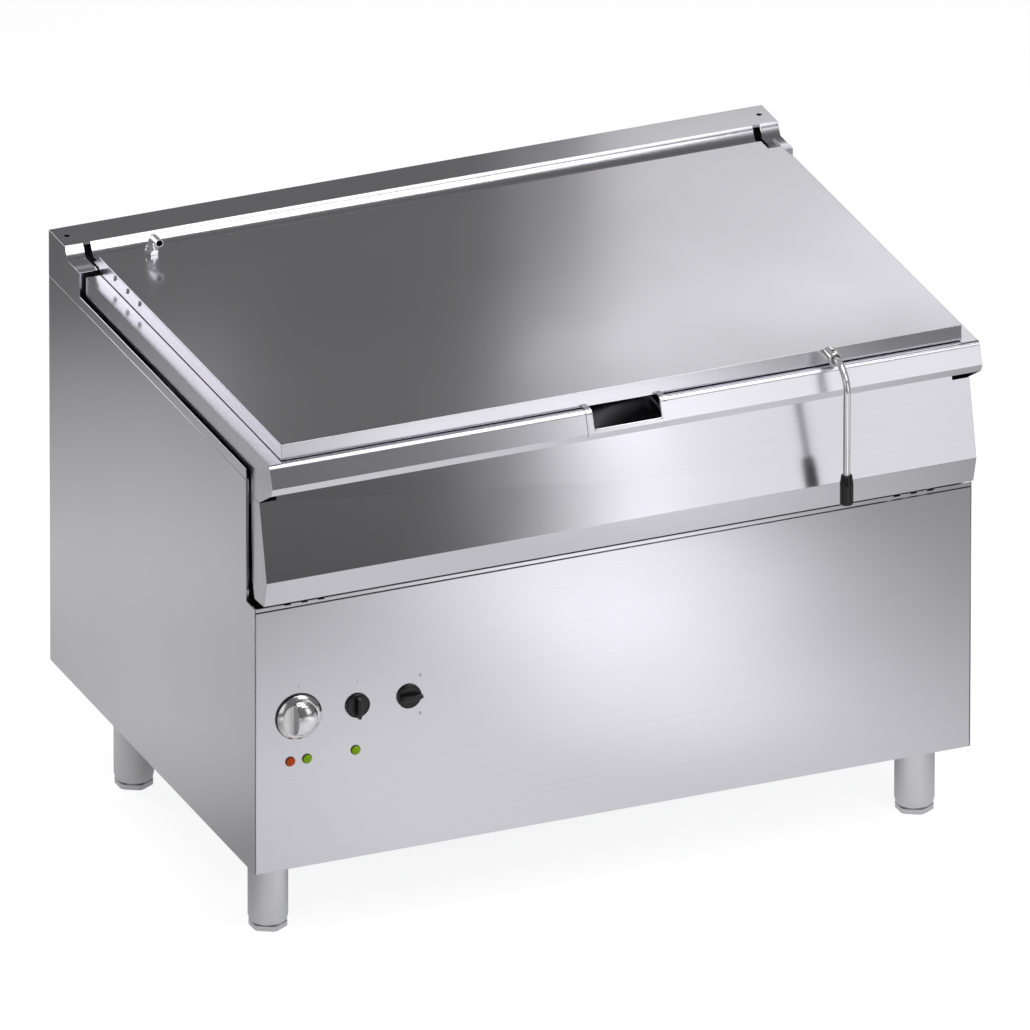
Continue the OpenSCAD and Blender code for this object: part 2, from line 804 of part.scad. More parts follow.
module heater_tray() {
    r = tray_t;
    color("silver") place() difference() {
        block([-tray_x, tray_y0, tray_z0], [tray_x, tray_y1, tray_z1]);
        block([-tray_x + r, tray_y0 + r, tray_z0 + r], [tray_x - r, tray_y1 - r, tray_z1 - r]);
        block([-vessel_x - vessel_t, vessel_y0 - vessel_t, tray_z1 - 10],
            [vessel_x + vessel_t, vessel_y1 + vessel_t, tray_z1 + 1]);
    }
}

// Welded cradle: a side plate along each end of the vessel and a cross tube at the front
module cradle() {
    top = rim_z - rim_t;
    w = cross_wall;
    color("gray") place() difference() {
        union() {
            both_sides() {
                along_x(cradle_x0, cradle_x1) polygon([[cradle_y0, cross_z0], [cradle_y0, axis_z + 25],
                    [vessel_y0, top], [vessel_y1 - 40, top], [vessel_y1 - 40, axis_z + 5],
                    [axis_y + 240, cross_z0]]);
                block([vessel_x + vessel_t, vessel_y0 + 50, axis_z + 14],
                    [cradle_x0 + 1, vessel_y1 - 50, axis_z + 20]);
            }
            block([-cradle_x0 - 4, cradle_y0, cross_z0], [cradle_x0 + 4, cradle_y0 + cross_b, cross_z0 + cross_h]);
        }
        block([-cradle_x0, cradle_y0 + w, cross_z0 + w],
            [cradle_x0, cradle_y0 + cross_b - w, cross_z0 + cross_h - w]);
    }
}

module trunnions() {
    color("silver") place() both_sides() {
        rod_x(cradle_x1, cradle_x1 + 6, axis_y, axis_z, trunnion_d / 2 + 7);
        rod_x(cradle_x1, arm_x1 + 2, axis_y, axis_z, trunnion_d / 2);
    }
}

// Involute tooth outline
function inv_at(rb, a) = rb * [cos(a) + a * PI / 180 * sin(a), sin(a) - a * PI / 180 * cos(a)];
function turn(p, a) = [p[0] * cos(a) - p[1] * sin(a), p[0] * sin(a) + p[1] * cos(a)];
function roll_to(rb, r) = r <= rb ? 0 : sqrt(r * r / (rb * rb) - 1) * 180 / PI;
function involute(deg) = tan(deg) * 180 / PI - deg;
function tooth(n, centre) = let (
        rp = gear_m * n / 2,
        rb = rp * cos(pressure),
        ra = rp + gear_m * 0.95,
        rf = rp - gear_m * 1.2,
        half = 90 / n - backlash / rp * 180 / PI + involute(pressure),
        start = roll_to(rb, max(rb, rf)),
        flank = [for (i = [0 : 4]) let (a = start + (roll_to(rb, ra) - start) * i / 4)
            turn(inv_at(rb, a), centre - half)],
        foot = rb > rf ? [rf * unit(flank[0])] : [],
        mirrored = [for (i = [4 : -1 : 0]) let (a = start + (roll_to(rb, ra) - start) * i / 4,
            q = inv_at(rb, a)) turn([q[0], -q[1]], centre + half)],
        heel = rb > rf ? [rf * unit(mirrored[4])] : []
    )
    concat(foot, flank, mirrored, heel);

// Toothed quarter bolted to the left side of the cradle
module sector_gear() {
    step = 360 / sector_teeth;
    first = mesh_angle + 5 * step / 2 - step;
    count = ceil((tilt_max + 14) / step);
    rf = sector_r - gear_m * 1.2;
    a1 = first + step / 2;
    a0 = first - (count - 1) * step - step / 2;
    teeth = [for (i = [count - 1 : -1 : 0], p = tooth(sector_teeth, first - i * step)) p];
    outline = concat(teeth, [rf * [cos(a1), sin(a1)]], arc([0, 0], hub_r, a1 + 18, a0 + 4, 24),
        [rf * [cos(a0), sin(a0)]]);
    color("goldenrod") place() difference() {
        translate([0, axis_y, axis_z]) along_x(-gear_x1, -gear_x0) polygon(outline);
        translate([0, axis_y, axis_z]) for (a = [0, 1]) {
            m0 = a0 + 8 + a * (a1 - a0) / 2;
            m1 = a0 + (a1 - a0) / 2 - 6 + a * (a1 - a0 - 4) / 2;
            along_x(-gear_x1 - 1, -gear_x0 + 1)
                polygon(concat(arc([0, 0], rf - sector_rim_b, m0, m1, 12), arc([0, 0], sector_window_r, m1, m0, 8)));
        }
        for (a = sector_screw_angles) {
            rod_x(-gear_x1 - 1, -gear_x0 + 1, axis_y + sector_screw_r * cos(a), axis_z + sector_screw_r * sin(a), 5);
        }
    }
}

module pinion() {
    teeth = [for (i = [0 : pinion_teeth - 1])
        each tooth(pinion_teeth, 180 + mesh_angle + i * 360 / pinion_teeth)];
    color("goldenrod") place() {
        translate([0, pinion_y, pinion_z]) along_x(-gear_x1 + 0.5, -gear_x0 - 1) polygon(teeth);
        rod_x(-arm_x0 + 1, -gear_x0 - 1, pinion_y, pinion_z, 14);
        rod_x(-arm_x1 + 2, -gear_x0 - 1, pinion_y, pinion_z, shaft_r);
    }
}

module lid_ears() {
    color("silver") place() both_sides() difference() {
        union() {
            along_x(ear_x[0], ear_x[1]) polygon([[rim_y1, rim_z - 2], [rim_y1, rim_z - 30],
                [hinge_y, hinge_z - 8], [hinge_y, hinge_z + 8], [hinge_y - 14, rim_z - 1]]);
            rod_x(ear_x[0], ear_x[1], hinge_y, hinge_z, 8);
            block([ear_x[0] - 18, rim_y1, rim_z - 30], [ear_x[1], rim_y1 + 3, rim_z - 6]);
        }
        rod_x(ear_x[0] - 1, ear_x[1] + 1, hinge_y, hinge_z, pin_r + running);
    }
}

module hinge_pins() {
    color("silver") place() both_sides() {
        rod_x(ear_x[0] - 1, slot_x + slot_w / 2 - 1, hinge_y, hinge_z, pin_r);
    }
}

// Lid

module lid_shell() {
    s = lid_sheet;
    z0 = lid_z0;
    color("silver") place() difference() {
        union() {
            block([-lid_x, lid_y0, lid_z1 - s], [lid_x, lid_y1, lid_z1]);
            block([-lid_x, lid_y0, z0], [lid_x, lid_y0 + s, lid_z1]);
            both_sides() block([lid_x - s, lid_y0, z0], [lid_x, lid_y1, lid_z1]);
            block([-notch_x[0], lid_y1 - s, z0], [notch_x[0], lid_y1, lid_z1]);
            block([notch_x[0] - s, notch_y - s, z0], [notch_x[0], lid_y1, lid_z1]);
            block([notch_x[0] - s, notch_y - s, z0], [arm_lid_x[0] - near, notch_y, lid_z1]);
        }
        block([notch_x[0], notch_y, z0 - 5], [notch_x[1], lid_y1 + 5, lid_z1 + 5]);
        translate([vent_x, vent_y, z0]) cylinder(r = 4, h = 2 * lid_t);
    }
}

// Inner skin with the drip edge that lets condensate fall back into the vessel
module lid_liner() {
    s = lid_sheet;
    x = vessel_x - lip_in;
    y = [vessel_y0 + lip_in, vessel_y1 - lip_in];
    color("silver") place() {
        block([-slot_x + 6, lid_y0 + s, lid_z0 + near], [slot_x - 6, notch_y - s, lid_z0 + near + s]);
        difference() {
            block([-x, y[0], lid_z0 - lip_h], [x, y[1], lid_z0 + s]);
            block([-x + s, y[0] + s, 0], [x - s, y[1] - s, lid_z1]);
        }
    }
}

module lid_arms() {
    color("silver") place() both_sides() difference() {
        union() {
            along_x(arm_lid_x[0], arm_lid_x[1]) polygon([[screw_y[0] - 25, lid_z0 + 3],
                [screw_y[0] - 25, lid_z1 - lid_sheet], [lid_y1 - 2, lid_z1 - lid_sheet],
                [hinge_y + 8, hinge_z + 8], [hinge_y + 8, hinge_z], [hinge_y, hinge_z - 8],
                [lid_y1 - 2, lid_z0 + 3]]);
            rod_x(arm_lid_x[0], arm_lid_x[1], hinge_y, hinge_z, 8);
        }
        rod_x(arm_lid_x[0] - 1, arm_lid_x[1] + 1, hinge_y, hinge_z, pin_r + running);
    }
}

module lid_screws() {
    color("silver") place() both_sides() for (y = screw_y) {
        rod_x(lid_x, lid_x + screw_h, y, lid_z0 + 17, screw_r);
        rod_x(lid_x + screw_h - eps, lid_x + screw_h + 0.8, y, lid_z0 + 17, screw_r - 1.1);
    }
}

module handle_boss() {
    y0 = lid_y0 - handle_boss_len;
    color("silver") place() difference() {
        rod_y(y0, lid_y0, handle_x, handle_z, boss_d / 2);
        rod_y(y0 - 1, lid_y0 - 6, handle_x, handle_z, rod_d / 2 + running);
        translate([handle_x, lid_y0 - 10, handle_z + boss_d / 2 - 3]) cylinder(r = 2.5, h = 10);
    }
}

module handle_rod() {
    y1 = rod_y + bend_r;
    color("silver") place() {
        rod_y(y1, lid_y0 - 7, handle_x, handle_z, rod_d / 2);
        translate([handle_x, y1, handle_z - bend_r]) rotate([90, 0, 90]) rotate([0, 0, 90])
            rotate_extrude(angle = 90) translate([bend_r, 0]) circle(rod_d / 2);
        translate([handle_x, rod_y, grip_z0 + 8]) cylinder(d = rod_d, h = handle_drop - bend_r - 8);
    }
}

module handle_grip() {
    r = grip_d / 2;
    color("black") place() translate([handle_x, rod_y, grip_z0]) difference() {
        rotate_extrude() polygon(concat([[0, 0]], arc([r - 3, 3], 3, -90, 0),
            [[r, grip_len * 0.68], [r - 2, grip_len - 1], [r - 3, grip_len], [0, grip_len]]));
        translate([0, 0, 8]) cylinder(d = rod_d + 2 * running, h = grip_len);
    }
}

// Steam outlet: hexagon nut, collar and a tube bent towards the front
module vent_elbow() {
    z = lid_z1 + vent_nut_h + 8;
    r = vent_tube_r;
    color("silver") place() translate([vent_x, vent_y, 0]) difference() {
        union() {
            translate([0, 0, lid_z1]) cylinder(d = 24, h = vent_nut_h, $fn = 6);
            translate([0, 0, lid_z1 + vent_nut_h]) cylinder(r = r + 2.5, h = 6);
            translate([0, 0, lid_z1 + vent_nut_h]) cylinder(r = r, h = 8);
            translate([0, -vent_bend, z]) rotate([90, 0, 90]) rotate_extrude(angle = 90)
                translate([vent_bend, 0]) circle(r);
            rod_y(-vent_bend - 18, -vent_bend, 0, z + vent_bend, r);
            rod_y(-vent_bend - 18, -vent_bend - 12, 0, z + vent_bend, r + 1.2);
        }
        translate([0, 0, lid_z1 - 1]) cylinder(r = r - vent_wall, h = vent_nut_h + 10);
        rod_y(-vent_bend - 20, -vent_bend, 0, z + vent_bend, r - vent_wall);
    }
}

// Controls

// Round body with a raised bar to turn it by; the bar lies along local x
module knob_body(d, h, base) {
    rotate([90, 0, 0]) {
        cylinder(d1 = d, d2 = d - 2, h = base);
        intersection() {
            cylinder(d1 = d - 2, d2 = d - 8, h = h);
            translate([-d, -d * 0.13, 0]) cube([2 * d, d * 0.26, h]);
        }
    }
}

module stem(x, z, y1) {
    rod_y(y1, sheet + switch_gap - 2, x, z, stem_r);
}

module knob_temperature() {
    color("lightgray") place() translate([knob_x, -skirt_t - 0.5, knob_z]) rotate([0, 90, 0])
        knob_body(knob_big_d - 8, knob_big_h, 9);
}

module knob_skirt() {
    color("black") place() rod_y(-skirt_t - 0.5, -0.5, knob_x, knob_z, knob_big_d / 2);
}

module stem_temperature() {
    color("silver") place() stem(knob_x, knob_z, -0.5);
}

module knob_power() {
    color("black") place() translate([power_x, -0.5, small_z]) rotate([0, 90, 0])
        knob_body(knob_small_d, knob_small_h, 8);
}

module stem_power() {
    color("silver") place() stem(power_x, small_z, -0.5);
}

module knob_tilt() {
    color("black") place() translate([tilt_x, -0.5, small_z]) knob_body(knob_small_d, knob_small_h, 8);
}

module stem_tilt() {
    color("silver") place() stem(tilt_x, small_z, -0.5);
}

base_frame();
base_tray();
side_panel_left();
side_panel_right();
side_strips();
back_panel();
front_panel();
front_rail();
rear_column();
splash_deck();
bearing_arm_left();
bearing_arm_right();
bearing_bushes();
leg_tubes();
gearbox();
gear_motor();
thermostat();
power_switch();
tilt_switch();
contactors();
terminal_block();
cable_gland();
earth_stud();
rest_buffers();
lamp_orange();
lamps_green();
vessel();
rim();
pour_spout();
casing();
heat_plate();
heating_elements();
insulation();
heater_tray();
cradle();
trunnions();
sector_gear();
lid_ears();
hinge_pins();
lid_shell();
lid_liner();
lid_arms();
lid_screws();
handle_boss();
handle_rod();
handle_grip();
vent_elbow();
knob_temperature();
knob_skirt();
stem_temperature();
knob_power();
stem_power();
knob_tilt();
stem_tilt();
pinion();
foot_front_left();
foot_front_right();
foot_rear_left();
foot_rear_right();
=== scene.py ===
import json
import math

import bmesh
import bpy
from mathutils import Matrix, Vector

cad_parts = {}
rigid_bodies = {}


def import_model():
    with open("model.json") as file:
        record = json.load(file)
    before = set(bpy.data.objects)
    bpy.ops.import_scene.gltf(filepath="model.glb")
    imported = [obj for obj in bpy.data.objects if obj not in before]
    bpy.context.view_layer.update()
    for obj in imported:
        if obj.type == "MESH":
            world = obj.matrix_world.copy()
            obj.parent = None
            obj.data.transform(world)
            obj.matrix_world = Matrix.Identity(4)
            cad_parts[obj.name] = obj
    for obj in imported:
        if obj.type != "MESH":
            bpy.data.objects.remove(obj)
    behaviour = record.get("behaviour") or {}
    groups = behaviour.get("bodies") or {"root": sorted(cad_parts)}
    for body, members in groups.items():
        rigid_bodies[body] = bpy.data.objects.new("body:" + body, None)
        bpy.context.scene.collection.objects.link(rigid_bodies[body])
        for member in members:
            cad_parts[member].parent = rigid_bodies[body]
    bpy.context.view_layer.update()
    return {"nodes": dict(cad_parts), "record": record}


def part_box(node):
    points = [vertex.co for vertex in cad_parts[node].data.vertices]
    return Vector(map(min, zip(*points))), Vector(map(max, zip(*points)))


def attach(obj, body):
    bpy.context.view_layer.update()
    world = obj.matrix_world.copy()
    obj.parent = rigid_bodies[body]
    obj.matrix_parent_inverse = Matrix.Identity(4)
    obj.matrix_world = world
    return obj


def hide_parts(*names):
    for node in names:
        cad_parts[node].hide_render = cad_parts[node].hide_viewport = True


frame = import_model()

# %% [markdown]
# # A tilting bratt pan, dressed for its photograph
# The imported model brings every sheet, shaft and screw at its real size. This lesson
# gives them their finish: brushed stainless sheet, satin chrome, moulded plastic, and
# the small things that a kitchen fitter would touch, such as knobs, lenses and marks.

MM = 0.001
nodes = frame["nodes"]
PANEL_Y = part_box("front_panel")[0].y
print("pieces in the frame:", len(nodes), "front plane at y", round(PANEL_Y, 4))

# %% [markdown]
# ## Camera
# A catalogue picture of a machine is taken from far away with a long lens, so that
# upright edges stay upright. An orthographic camera would come near it, but a real lens
# keeps the slight narrowing towards the back. The camera stands 73 m off, at 22.7
# degrees to the left and 25.3 degrees up, and looks near the middle of the machine.

# %% The camera
CAM_AZIMUTH = -22.7415
CAM_ELEVATION = 25.3469
CAM_ROLL = 0.0765
CAM_DISTANCE = 73.1412
CAM_TARGET = Vector((-0.01476, 0.0, 0.4825))
CAM_LENS = 1650.0
CAM_SENSOR = 36.0
CAM_CLIP = (1.0, 200.0)


def make_camera():
    """The camera on its long line of sight, rolled a little about it."""
    azimuth, elevation = math.radians(CAM_AZIMUTH), math.radians(CAM_ELEVATION)
    back = Vector((math.sin(azimuth) * math.cos(elevation),
                   -math.cos(azimuth) * math.cos(elevation), math.sin(elevation)))
    data = bpy.data.cameras.new("camera")
    data.lens = CAM_LENS
    data.sensor_width = CAM_SENSOR
    data.clip_start, data.clip_end = CAM_CLIP
    camera = bpy.data.objects.new("camera", data)
    bpy.context.collection.objects.link(camera)
    roll = Matrix.Rotation(math.radians(CAM_ROLL), 3, "Z")
    turn = (-back).to_track_quat("-Z", "Y").to_matrix() @ roll
    camera.matrix_world = Matrix.Translation(CAM_TARGET + back * CAM_DISTANCE) @ turn.to_4x4()
    bpy.context.scene.camera = camera
    print("camera at", [round(v, 2) for v in camera.matrix_world.translation])


make_camera()

# %% [markdown]
# ## Node trees in few words
# Each finish below is a small tree of nodes. It could be clicked together in the shader
# editor, but helpers keep it short and the same each time. They make an empty material,
# add a node with its sockets, place a pattern and turn a value into a colour. Patterns
# run in Object coordinates, so that the grain stays on the metal when a lid or a pan turns.

# %% Helpers for materials


def new_material(name):
    """An empty material with its tree, its shader and its output."""
    mat = bpy.data.materials.new(name)
    mat.use_nodes = True
    tree = mat.node_tree
    tree.nodes.clear()
    out = tree.nodes.new("ShaderNodeOutputMaterial")
    shader = tree.nodes.new("ShaderNodeBsdfPrincipled")
    tree.links.new(shader.outputs["BSDF"], out.inputs["Surface"])
    return mat, tree, shader


def add(tree, kind, settings=None, **sockets):
    """Adds a node; a socket given a node's output is linked, anything else is its value."""
    node = tree.nodes.new(kind)
    for key, value in (settings or {}).items():
        setattr(node, key, value)
    for key, value in sockets.items():
        name = key.replace("_", " ")
        socket = node.inputs[name] if name in node.inputs else node.inputs[int(key[1:])]
        if isinstance(value, bpy.types.NodeSocket):
            tree.links.new(value, socket)
        else:
            socket.default_value = value
    return node


def object_space(tree, scale):
    """Object coordinates stretched by a scale for each axis."""
    place = add(tree, "ShaderNodeTexCoord")
    return add(tree, "ShaderNodeMapping", Vector=place.outputs["Object"], Scale=scale).outputs["Vector"]


def ramp(tree, factor, low, high, colours):
    """A ramp from one colour at the low value to another at the high value."""
    node = add(tree, "ShaderNodeValToRGB", Fac=factor)
    for element, place, colour in zip(node.color_ramp.elements, (low, high), colours):
        element.position = place
        element.color = (*colour, 1)
    return node.outputs["Color"]


def shaded(colour, share):
    """A colour made darker or lighter by a share."""
    return tuple(channel * share for channel in colour)


print("material helpers: new_material, add, object_space, ramp, shaded")

# %% [markdown]
# ## Brushed stainless sheet
# Kitchen sheet is ground with a belt, which leaves fine scratches all one way. Light
# spreads across the scratches and hardly along them, so a lamp shows as a soft band. A
# photograph of brushed steel could be wrapped round, but it would stretch on long sheets.
# Here an anisotropic shader gives the spread. A stretched noise gives the scratches, both
# in the colour, which varies by a few percent, and in a very shallow bump.

# %% Brushed metal
GRAIN = {"x": (3, 900, 900), "y": (900, 3, 900), "z": (900, 900, 3)}
TANGENT = {"x": (1, 0.001, 0), "y": (0, 1, 0.001), "z": (0.001, 0, 1)}
CLOUD_SCALE = (3, 3, 3)
NOISE_LOW, NOISE_HIGH = 0.3, 0.7
SCRATCH_DARK, SCRATCH_LIGHT = 0.975, 1.02
HAZE_BELOW, HAZE_ABOVE = 0.02, 0.03
SHEET_COLOUR = (0.70, 0.69, 0.74)


def brushed(name, grain="x", colour=SHEET_COLOUR, rough=0.20, aniso=0.4, depth=0.003):
    """Metal with fine scratches along one axis; depth is the height of its bump in mm."""
    mat, tree, shader = new_material(name)
    lines = add(tree, "ShaderNodeTexNoise", Vector=object_space(tree, GRAIN[grain]),
                Scale=1.0, Detail=4.0, Roughness=0.65).outputs["Fac"]
    cloud = add(tree, "ShaderNodeTexNoise", Vector=object_space(tree, CLOUD_SCALE),
                Scale=1.0, Detail=2.0).outputs["Fac"]
    tint = ramp(tree, lines, NOISE_LOW, NOISE_HIGH,
                (shaded(colour, SCRATCH_DARK), shaded(colour, SCRATCH_LIGHT)))
    tree.links.new(tint, shader.inputs["Base Color"])
    haze = add(tree, "ShaderNodeMapRange", Value=cloud, From_Min=NOISE_LOW, From_Max=NOISE_HIGH,
               To_Min=rough - HAZE_BELOW, To_Max=rough + HAZE_ABOVE)
    tree.links.new(haze.outputs["Result"], shader.inputs["Roughness"])
    bump = add(tree, "ShaderNodeBump", Height=lines, Strength=0.25, Distance=depth * MM)
    tree.links.new(bump.outputs["Normal"], shader.inputs["Normal"])
    x, y, z = TANGENT[grain]
    direction = add(tree, "ShaderNodeCombineXYZ", X=x, Y=y, Z=z)
    tree.links.new(direction.outputs["Vector"], shader.inputs["Tangent"])
    shader.inputs["Metallic"].default_value = 1.0
    shader.inputs["Anisotropic"].default_value = aniso
    return mat


print("grain directions:", sorted(GRAIN))

# %% [markdown]
# ## Plain metals, plastics and paint
# Pins, gears, moulded knobs and painted frames have no clear grain, but none of them is
# quite even. They could have plain colours; close up that looks like wax. One fine noise
# moves the colour, the shine and the height together, and each family of finishes only
# sets how much. A metal share below 1 mirrors a little less and scatters more.

# %% Finishes with an even, fine noise
MOULDED_SPREAD = 0.1


def mottled(name, colour, rough, scale, spread, depth, detail, noise_rough, darkest, strength):
    """A material whose colour, roughness and height follow one noise; depth is in mm."""
    mat, tree, shader = new_material(name)
    cloud = add(tree, "ShaderNodeTexNoise", Vector=object_space(tree, (scale, scale, scale)),
                Scale=1.0, Detail=detail, Roughness=noise_rough).outputs["Fac"]
    tint = ramp(tree, cloud, NOISE_LOW, NOISE_HIGH, (shaded(colour, darkest), colour))
    tree.links.new(tint, shader.inputs["Base Color"])
    haze = add(tree, "ShaderNodeMapRange", Value=cloud,
               To_Min=rough - spread / 2, To_Max=rough + spread / 2)
    tree.links.new(haze.outputs["Result"], shader.inputs["Roughness"])
    bump = add(tree, "ShaderNodeBump", Height=cloud, Strength=strength, Distance=depth * MM)
    tree.links.new(bump.outputs["Normal"], shader.inputs["Normal"])
    return mat, shader


def plain_metal(name, colour, rough, scale=60, spread=0.08, depth=0.02, metal=1.0):
    """Turned, ground or rolled metal without one clear grain."""
    mat, shader = mottled(name, colour, rough, scale, spread, depth,
                          detail=5.0, noise_rough=0.6, darkest=0.88, strength=0.2)
    shader.inputs["Metallic"].default_value = metal
    return mat


def moulded(name, colour, rough, coat=0.0, scale=900, depth=0.03):
    """Moulded plastic or paint: a fine eroded texture that breaks up the shine."""
    mat, shader = mottled(name, colour, rough, scale, MOULDED_SPREAD, depth,
                          detail=3.0, noise_rough=0.5, darkest=0.85, strength=0.3)
    shader.inputs["Coat Weight"].default_value = coat
    return mat


print("families of finishes: brushed, plain_metal, moulded")

# %% [markdown]
# ## Lamp lenses
# A panel lamp has a tinted lens with small facets inside, which keep it bright when the
# lamp is off. True facets and glass would cost many rays for a few pixels. Instead their
# light and shade are painted: small cells, lighter in the middle and darker at the edge,
# and a weak painted glow.

# %% Lamp lenses
LENS_CELLS = (700, 700, 700)
# Painted light: cells darker at their edges are painted facet shade, and the glow is painted light.
LENS_EDGE_AT, LENS_EDGE_PAINTED_SHADE = 0.8, 0.6
LENS_PAINTED_GLOW, LENS_ROUGH, LENS_SHINE = 0.35, 0.15, 0.25


def lens(name, colour):
    """A tinted lamp lens with painted facet shade and a weak painted glow."""
    mat, tree, shader = new_material(name)
    cells = add(tree, "ShaderNodeTexVoronoi", Vector=object_space(tree, LENS_CELLS), Scale=1.0)
    tint = ramp(tree, cells.outputs["Distance"], 0.0, LENS_EDGE_AT,
                (colour, shaded(colour, LENS_EDGE_PAINTED_SHADE)))
    tree.links.new(tint, shader.inputs["Base Color"])
    tree.links.new(tint, shader.inputs["Emission Color"])
    # Painted glow in the lens's own tint, standing in for light that the facets gather.
    shader.inputs["Emission Strength"].default_value = LENS_PAINTED_GLOW
    shader.inputs["Roughness"].default_value = LENS_ROUGH
    shader.inputs["Specular IOR Level"].default_value = LENS_SHINE
    return mat


print("lens cells to the metre:", LENS_CELLS[0])

# %% [markdown]
# ## The shelf of finishes
# Every finish is made once and used wherever the machine has it. A brushed finish gives
# its grain's axis, colour, roughness and anisotropy. A plain metal gives its colour,
# roughness, scale of noise, spread of roughness, depth of bump and metal share. A moulded
# one gives its colour, roughness, clear coat, scale of noise and depth of bump, and a
# lens just its colour.

# %% All finishes
finishes = {
    "sheet_x": brushed("brushed_stainless_x", "x"),
    "sheet_y": brushed("brushed_stainless_y", "y"),
    # The casing is the same stainless sheet, given a darker colour here as painted shade.
    "sheet_casing_painted_shade": brushed("brushed_stainless_casing_painted_shade", "x", (0.60, 0.592, 0.635), 0.15),
    "vessel": brushed("vessel_stainless", "x", (0.62, 0.62, 0.63), 0.3, 0.4),
    "galvanised": plain_metal("galvanised_sheet", (0.55, 0.56, 0.58), 0.42, 25, 0.15),
    "turned": brushed("turned_stainless", "z", (0.77, 0.77, 0.80), 0.42, 0.2),
    "machined": plain_metal("machined_steel", (0.70, 0.70, 0.71), 0.18, 200, 0.05),
    "gear": plain_metal("gear_steel", (0.40, 0.40, 0.41), 0.30, 150, 0.1),
    "bronze": plain_metal("bearing_bronze", (0.62, 0.42, 0.22), 0.30, 150, 0.1),
    "brass": plain_metal("brass", (0.78, 0.62, 0.30), 0.22, 150, 0.08),
    "plate": plain_metal("rolled_plate", (0.20, 0.20, 0.21), 0.45, 40, 0.15),
    "sheath": plain_metal("element_sheath", (0.30, 0.27, 0.24), 0.40, 90, 0.15),
    "satin_chrome": plain_metal("satin_chrome", (0.80, 0.80, 0.81), 0.19, 300, 0.03, 0.004),
    "polished": plain_metal("polished_stainless", (0.98, 0.98, 1.0), 0.14, 200, 0.03, 0.004, 0.7),
    # Near-black painted shade for the steam tube's bore and the grub screw's hole.
    "painted_shade": moulded("painted_shade_black", (0.006, 0.006, 0.006), 0.7),
    "frame_paint": moulded("frame_paint", (0.10, 0.105, 0.11), 0.45),
    "drive_paint": moulded("drive_paint", (0.06, 0.10, 0.15), 0.35, 0.3),
    "black_plastic": moulded("black_plastic", (0.008, 0.008, 0.009), 0.30),
    "grey_plastic": moulded("grey_plastic", (0.30, 0.31, 0.32), 0.5),
    "terminal_plastic": moulded("terminal_plastic", (0.66, 0.62, 0.50), 0.5),
    "rubber": moulded("black_rubber", (0.02, 0.02, 0.02), 0.75, 0.0, 400, 0.08),
    "wool": moulded("mineral_wool", (0.45, 0.38, 0.20), 0.95, 0.0, 150, 1.0),
    "lens_orange": lens("lens_orange", (0.62, 0.085, 0.006)),
    "lens_green": lens("lens_green", (0.27, 0.50, 0.004)),
    "ring_orange": moulded("ring_orange", (0.16, 0.04, 0.012), 0.4),
    "ring_green": moulded("ring_green", (0.07, 0.13, 0.012), 0.4),
    "etched": plain_metal("etched_mark", (0.58, 0.58, 0.60), 0.50, 400, 0.05, 0.01),
}
print("finishes:", len(finishes))

# %% [markdown]
# ## Which finish goes where
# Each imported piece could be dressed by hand, one after another. One table is easier to
# check: it names the pieces for each finish. The side sheets are ground front to rear,
# the others left to right, as the blanks lie on the grinder.

# %% Give every piece its finish
FINISH_OF = {
    "sheet_x": ["front_panel", "front_rail", "rear_column", "rim", "lid_shell", "pour_spout"],
    "sheet_casing_painted_shade": ["casing"],
    "sheet_y": ["side_panel_left", "side_panel_right", "side_strips"],
    "vessel": ["vessel", "lid_liner"],
    "galvanised": ["base_frame", "base_tray", "back_panel", "splash_deck", "heater_tray"],
    "turned": ["leg_tubes", "foot_front_left", "foot_front_right", "foot_rear_left", "foot_rear_right"],
    "machined": ["trunnions", "hinge_pins", "stem_temperature", "stem_power", "stem_tilt",
                 "lid_arms", "lid_ears"],
    "polished": ["lid_screws", "handle_boss", "handle_rod", "vent_elbow"],
    "gear": ["sector_gear", "pinion"],
    "bronze": ["bearing_bushes"],
    "brass": ["earth_stud"],
    "plate": ["heat_plate"],
    "sheath": ["heating_elements"],
    "satin_chrome": ["knob_temperature"],
    "frame_paint": ["bearing_arm_left", "bearing_arm_right", "cradle"],
    "drive_paint": ["gearbox", "gear_motor"],
    "black_plastic": ["handle_grip", "knob_power", "knob_tilt", "knob_skirt", "power_switch",
                      "tilt_switch", "cable_gland"],
    "grey_plastic": ["contactors", "thermostat"],
    "terminal_plastic": ["terminal_block"],
    "rubber": ["rest_buffers"],
    "wool": ["insulation"],
    "lens_orange": ["lamp_orange"],
    "lens_green": ["lamps_green"],
}


def dress(piece, finish):
    """Takes off whatever a piece wears and gives it one finish."""
    piece.data.materials.clear()
    piece.data.materials.append(finishes[finish])


for finish, members in FINISH_OF.items():
    for member in members:
        dress(nodes[member], finish)
dressed = {member for members in FINISH_OF.values() for member in members}
print("pieces without a finish:", sorted(set(nodes) - dressed))

# %% [markdown]
# ## From a drawn shape to a piece
# Every new piece ends in the same way: its mesh gets smooth faces with crisp edges, its
# finish and the body it rides on. One function does it, so that no piece can miss a step.

# %% Finishing a mesh
SHARP_FROM = 35
BODY_OF = {}
for body, members in frame["record"]["behaviour"]["bodies"].items():
    for member in members:
        BODY_OF[member] = body


def finish_mesh(shape, name, finish, body, sharp=SHARP_FROM):
    """Makes the object, marks sharp edges and tells the frame where it belongs."""
    mesh = bpy.data.meshes.new(name)
    for face in shape.faces:
        face.smooth = True
    shape.to_mesh(mesh)
    shape.free()
    if sharp:
        mesh.set_sharp_from_angle(angle=math.radians(sharp))
    piece = bpy.data.objects.new(name, mesh)
    bpy.context.collection.objects.link(piece)
    piece.data.materials.append(finishes[finish])
    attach(piece, body)
    return piece


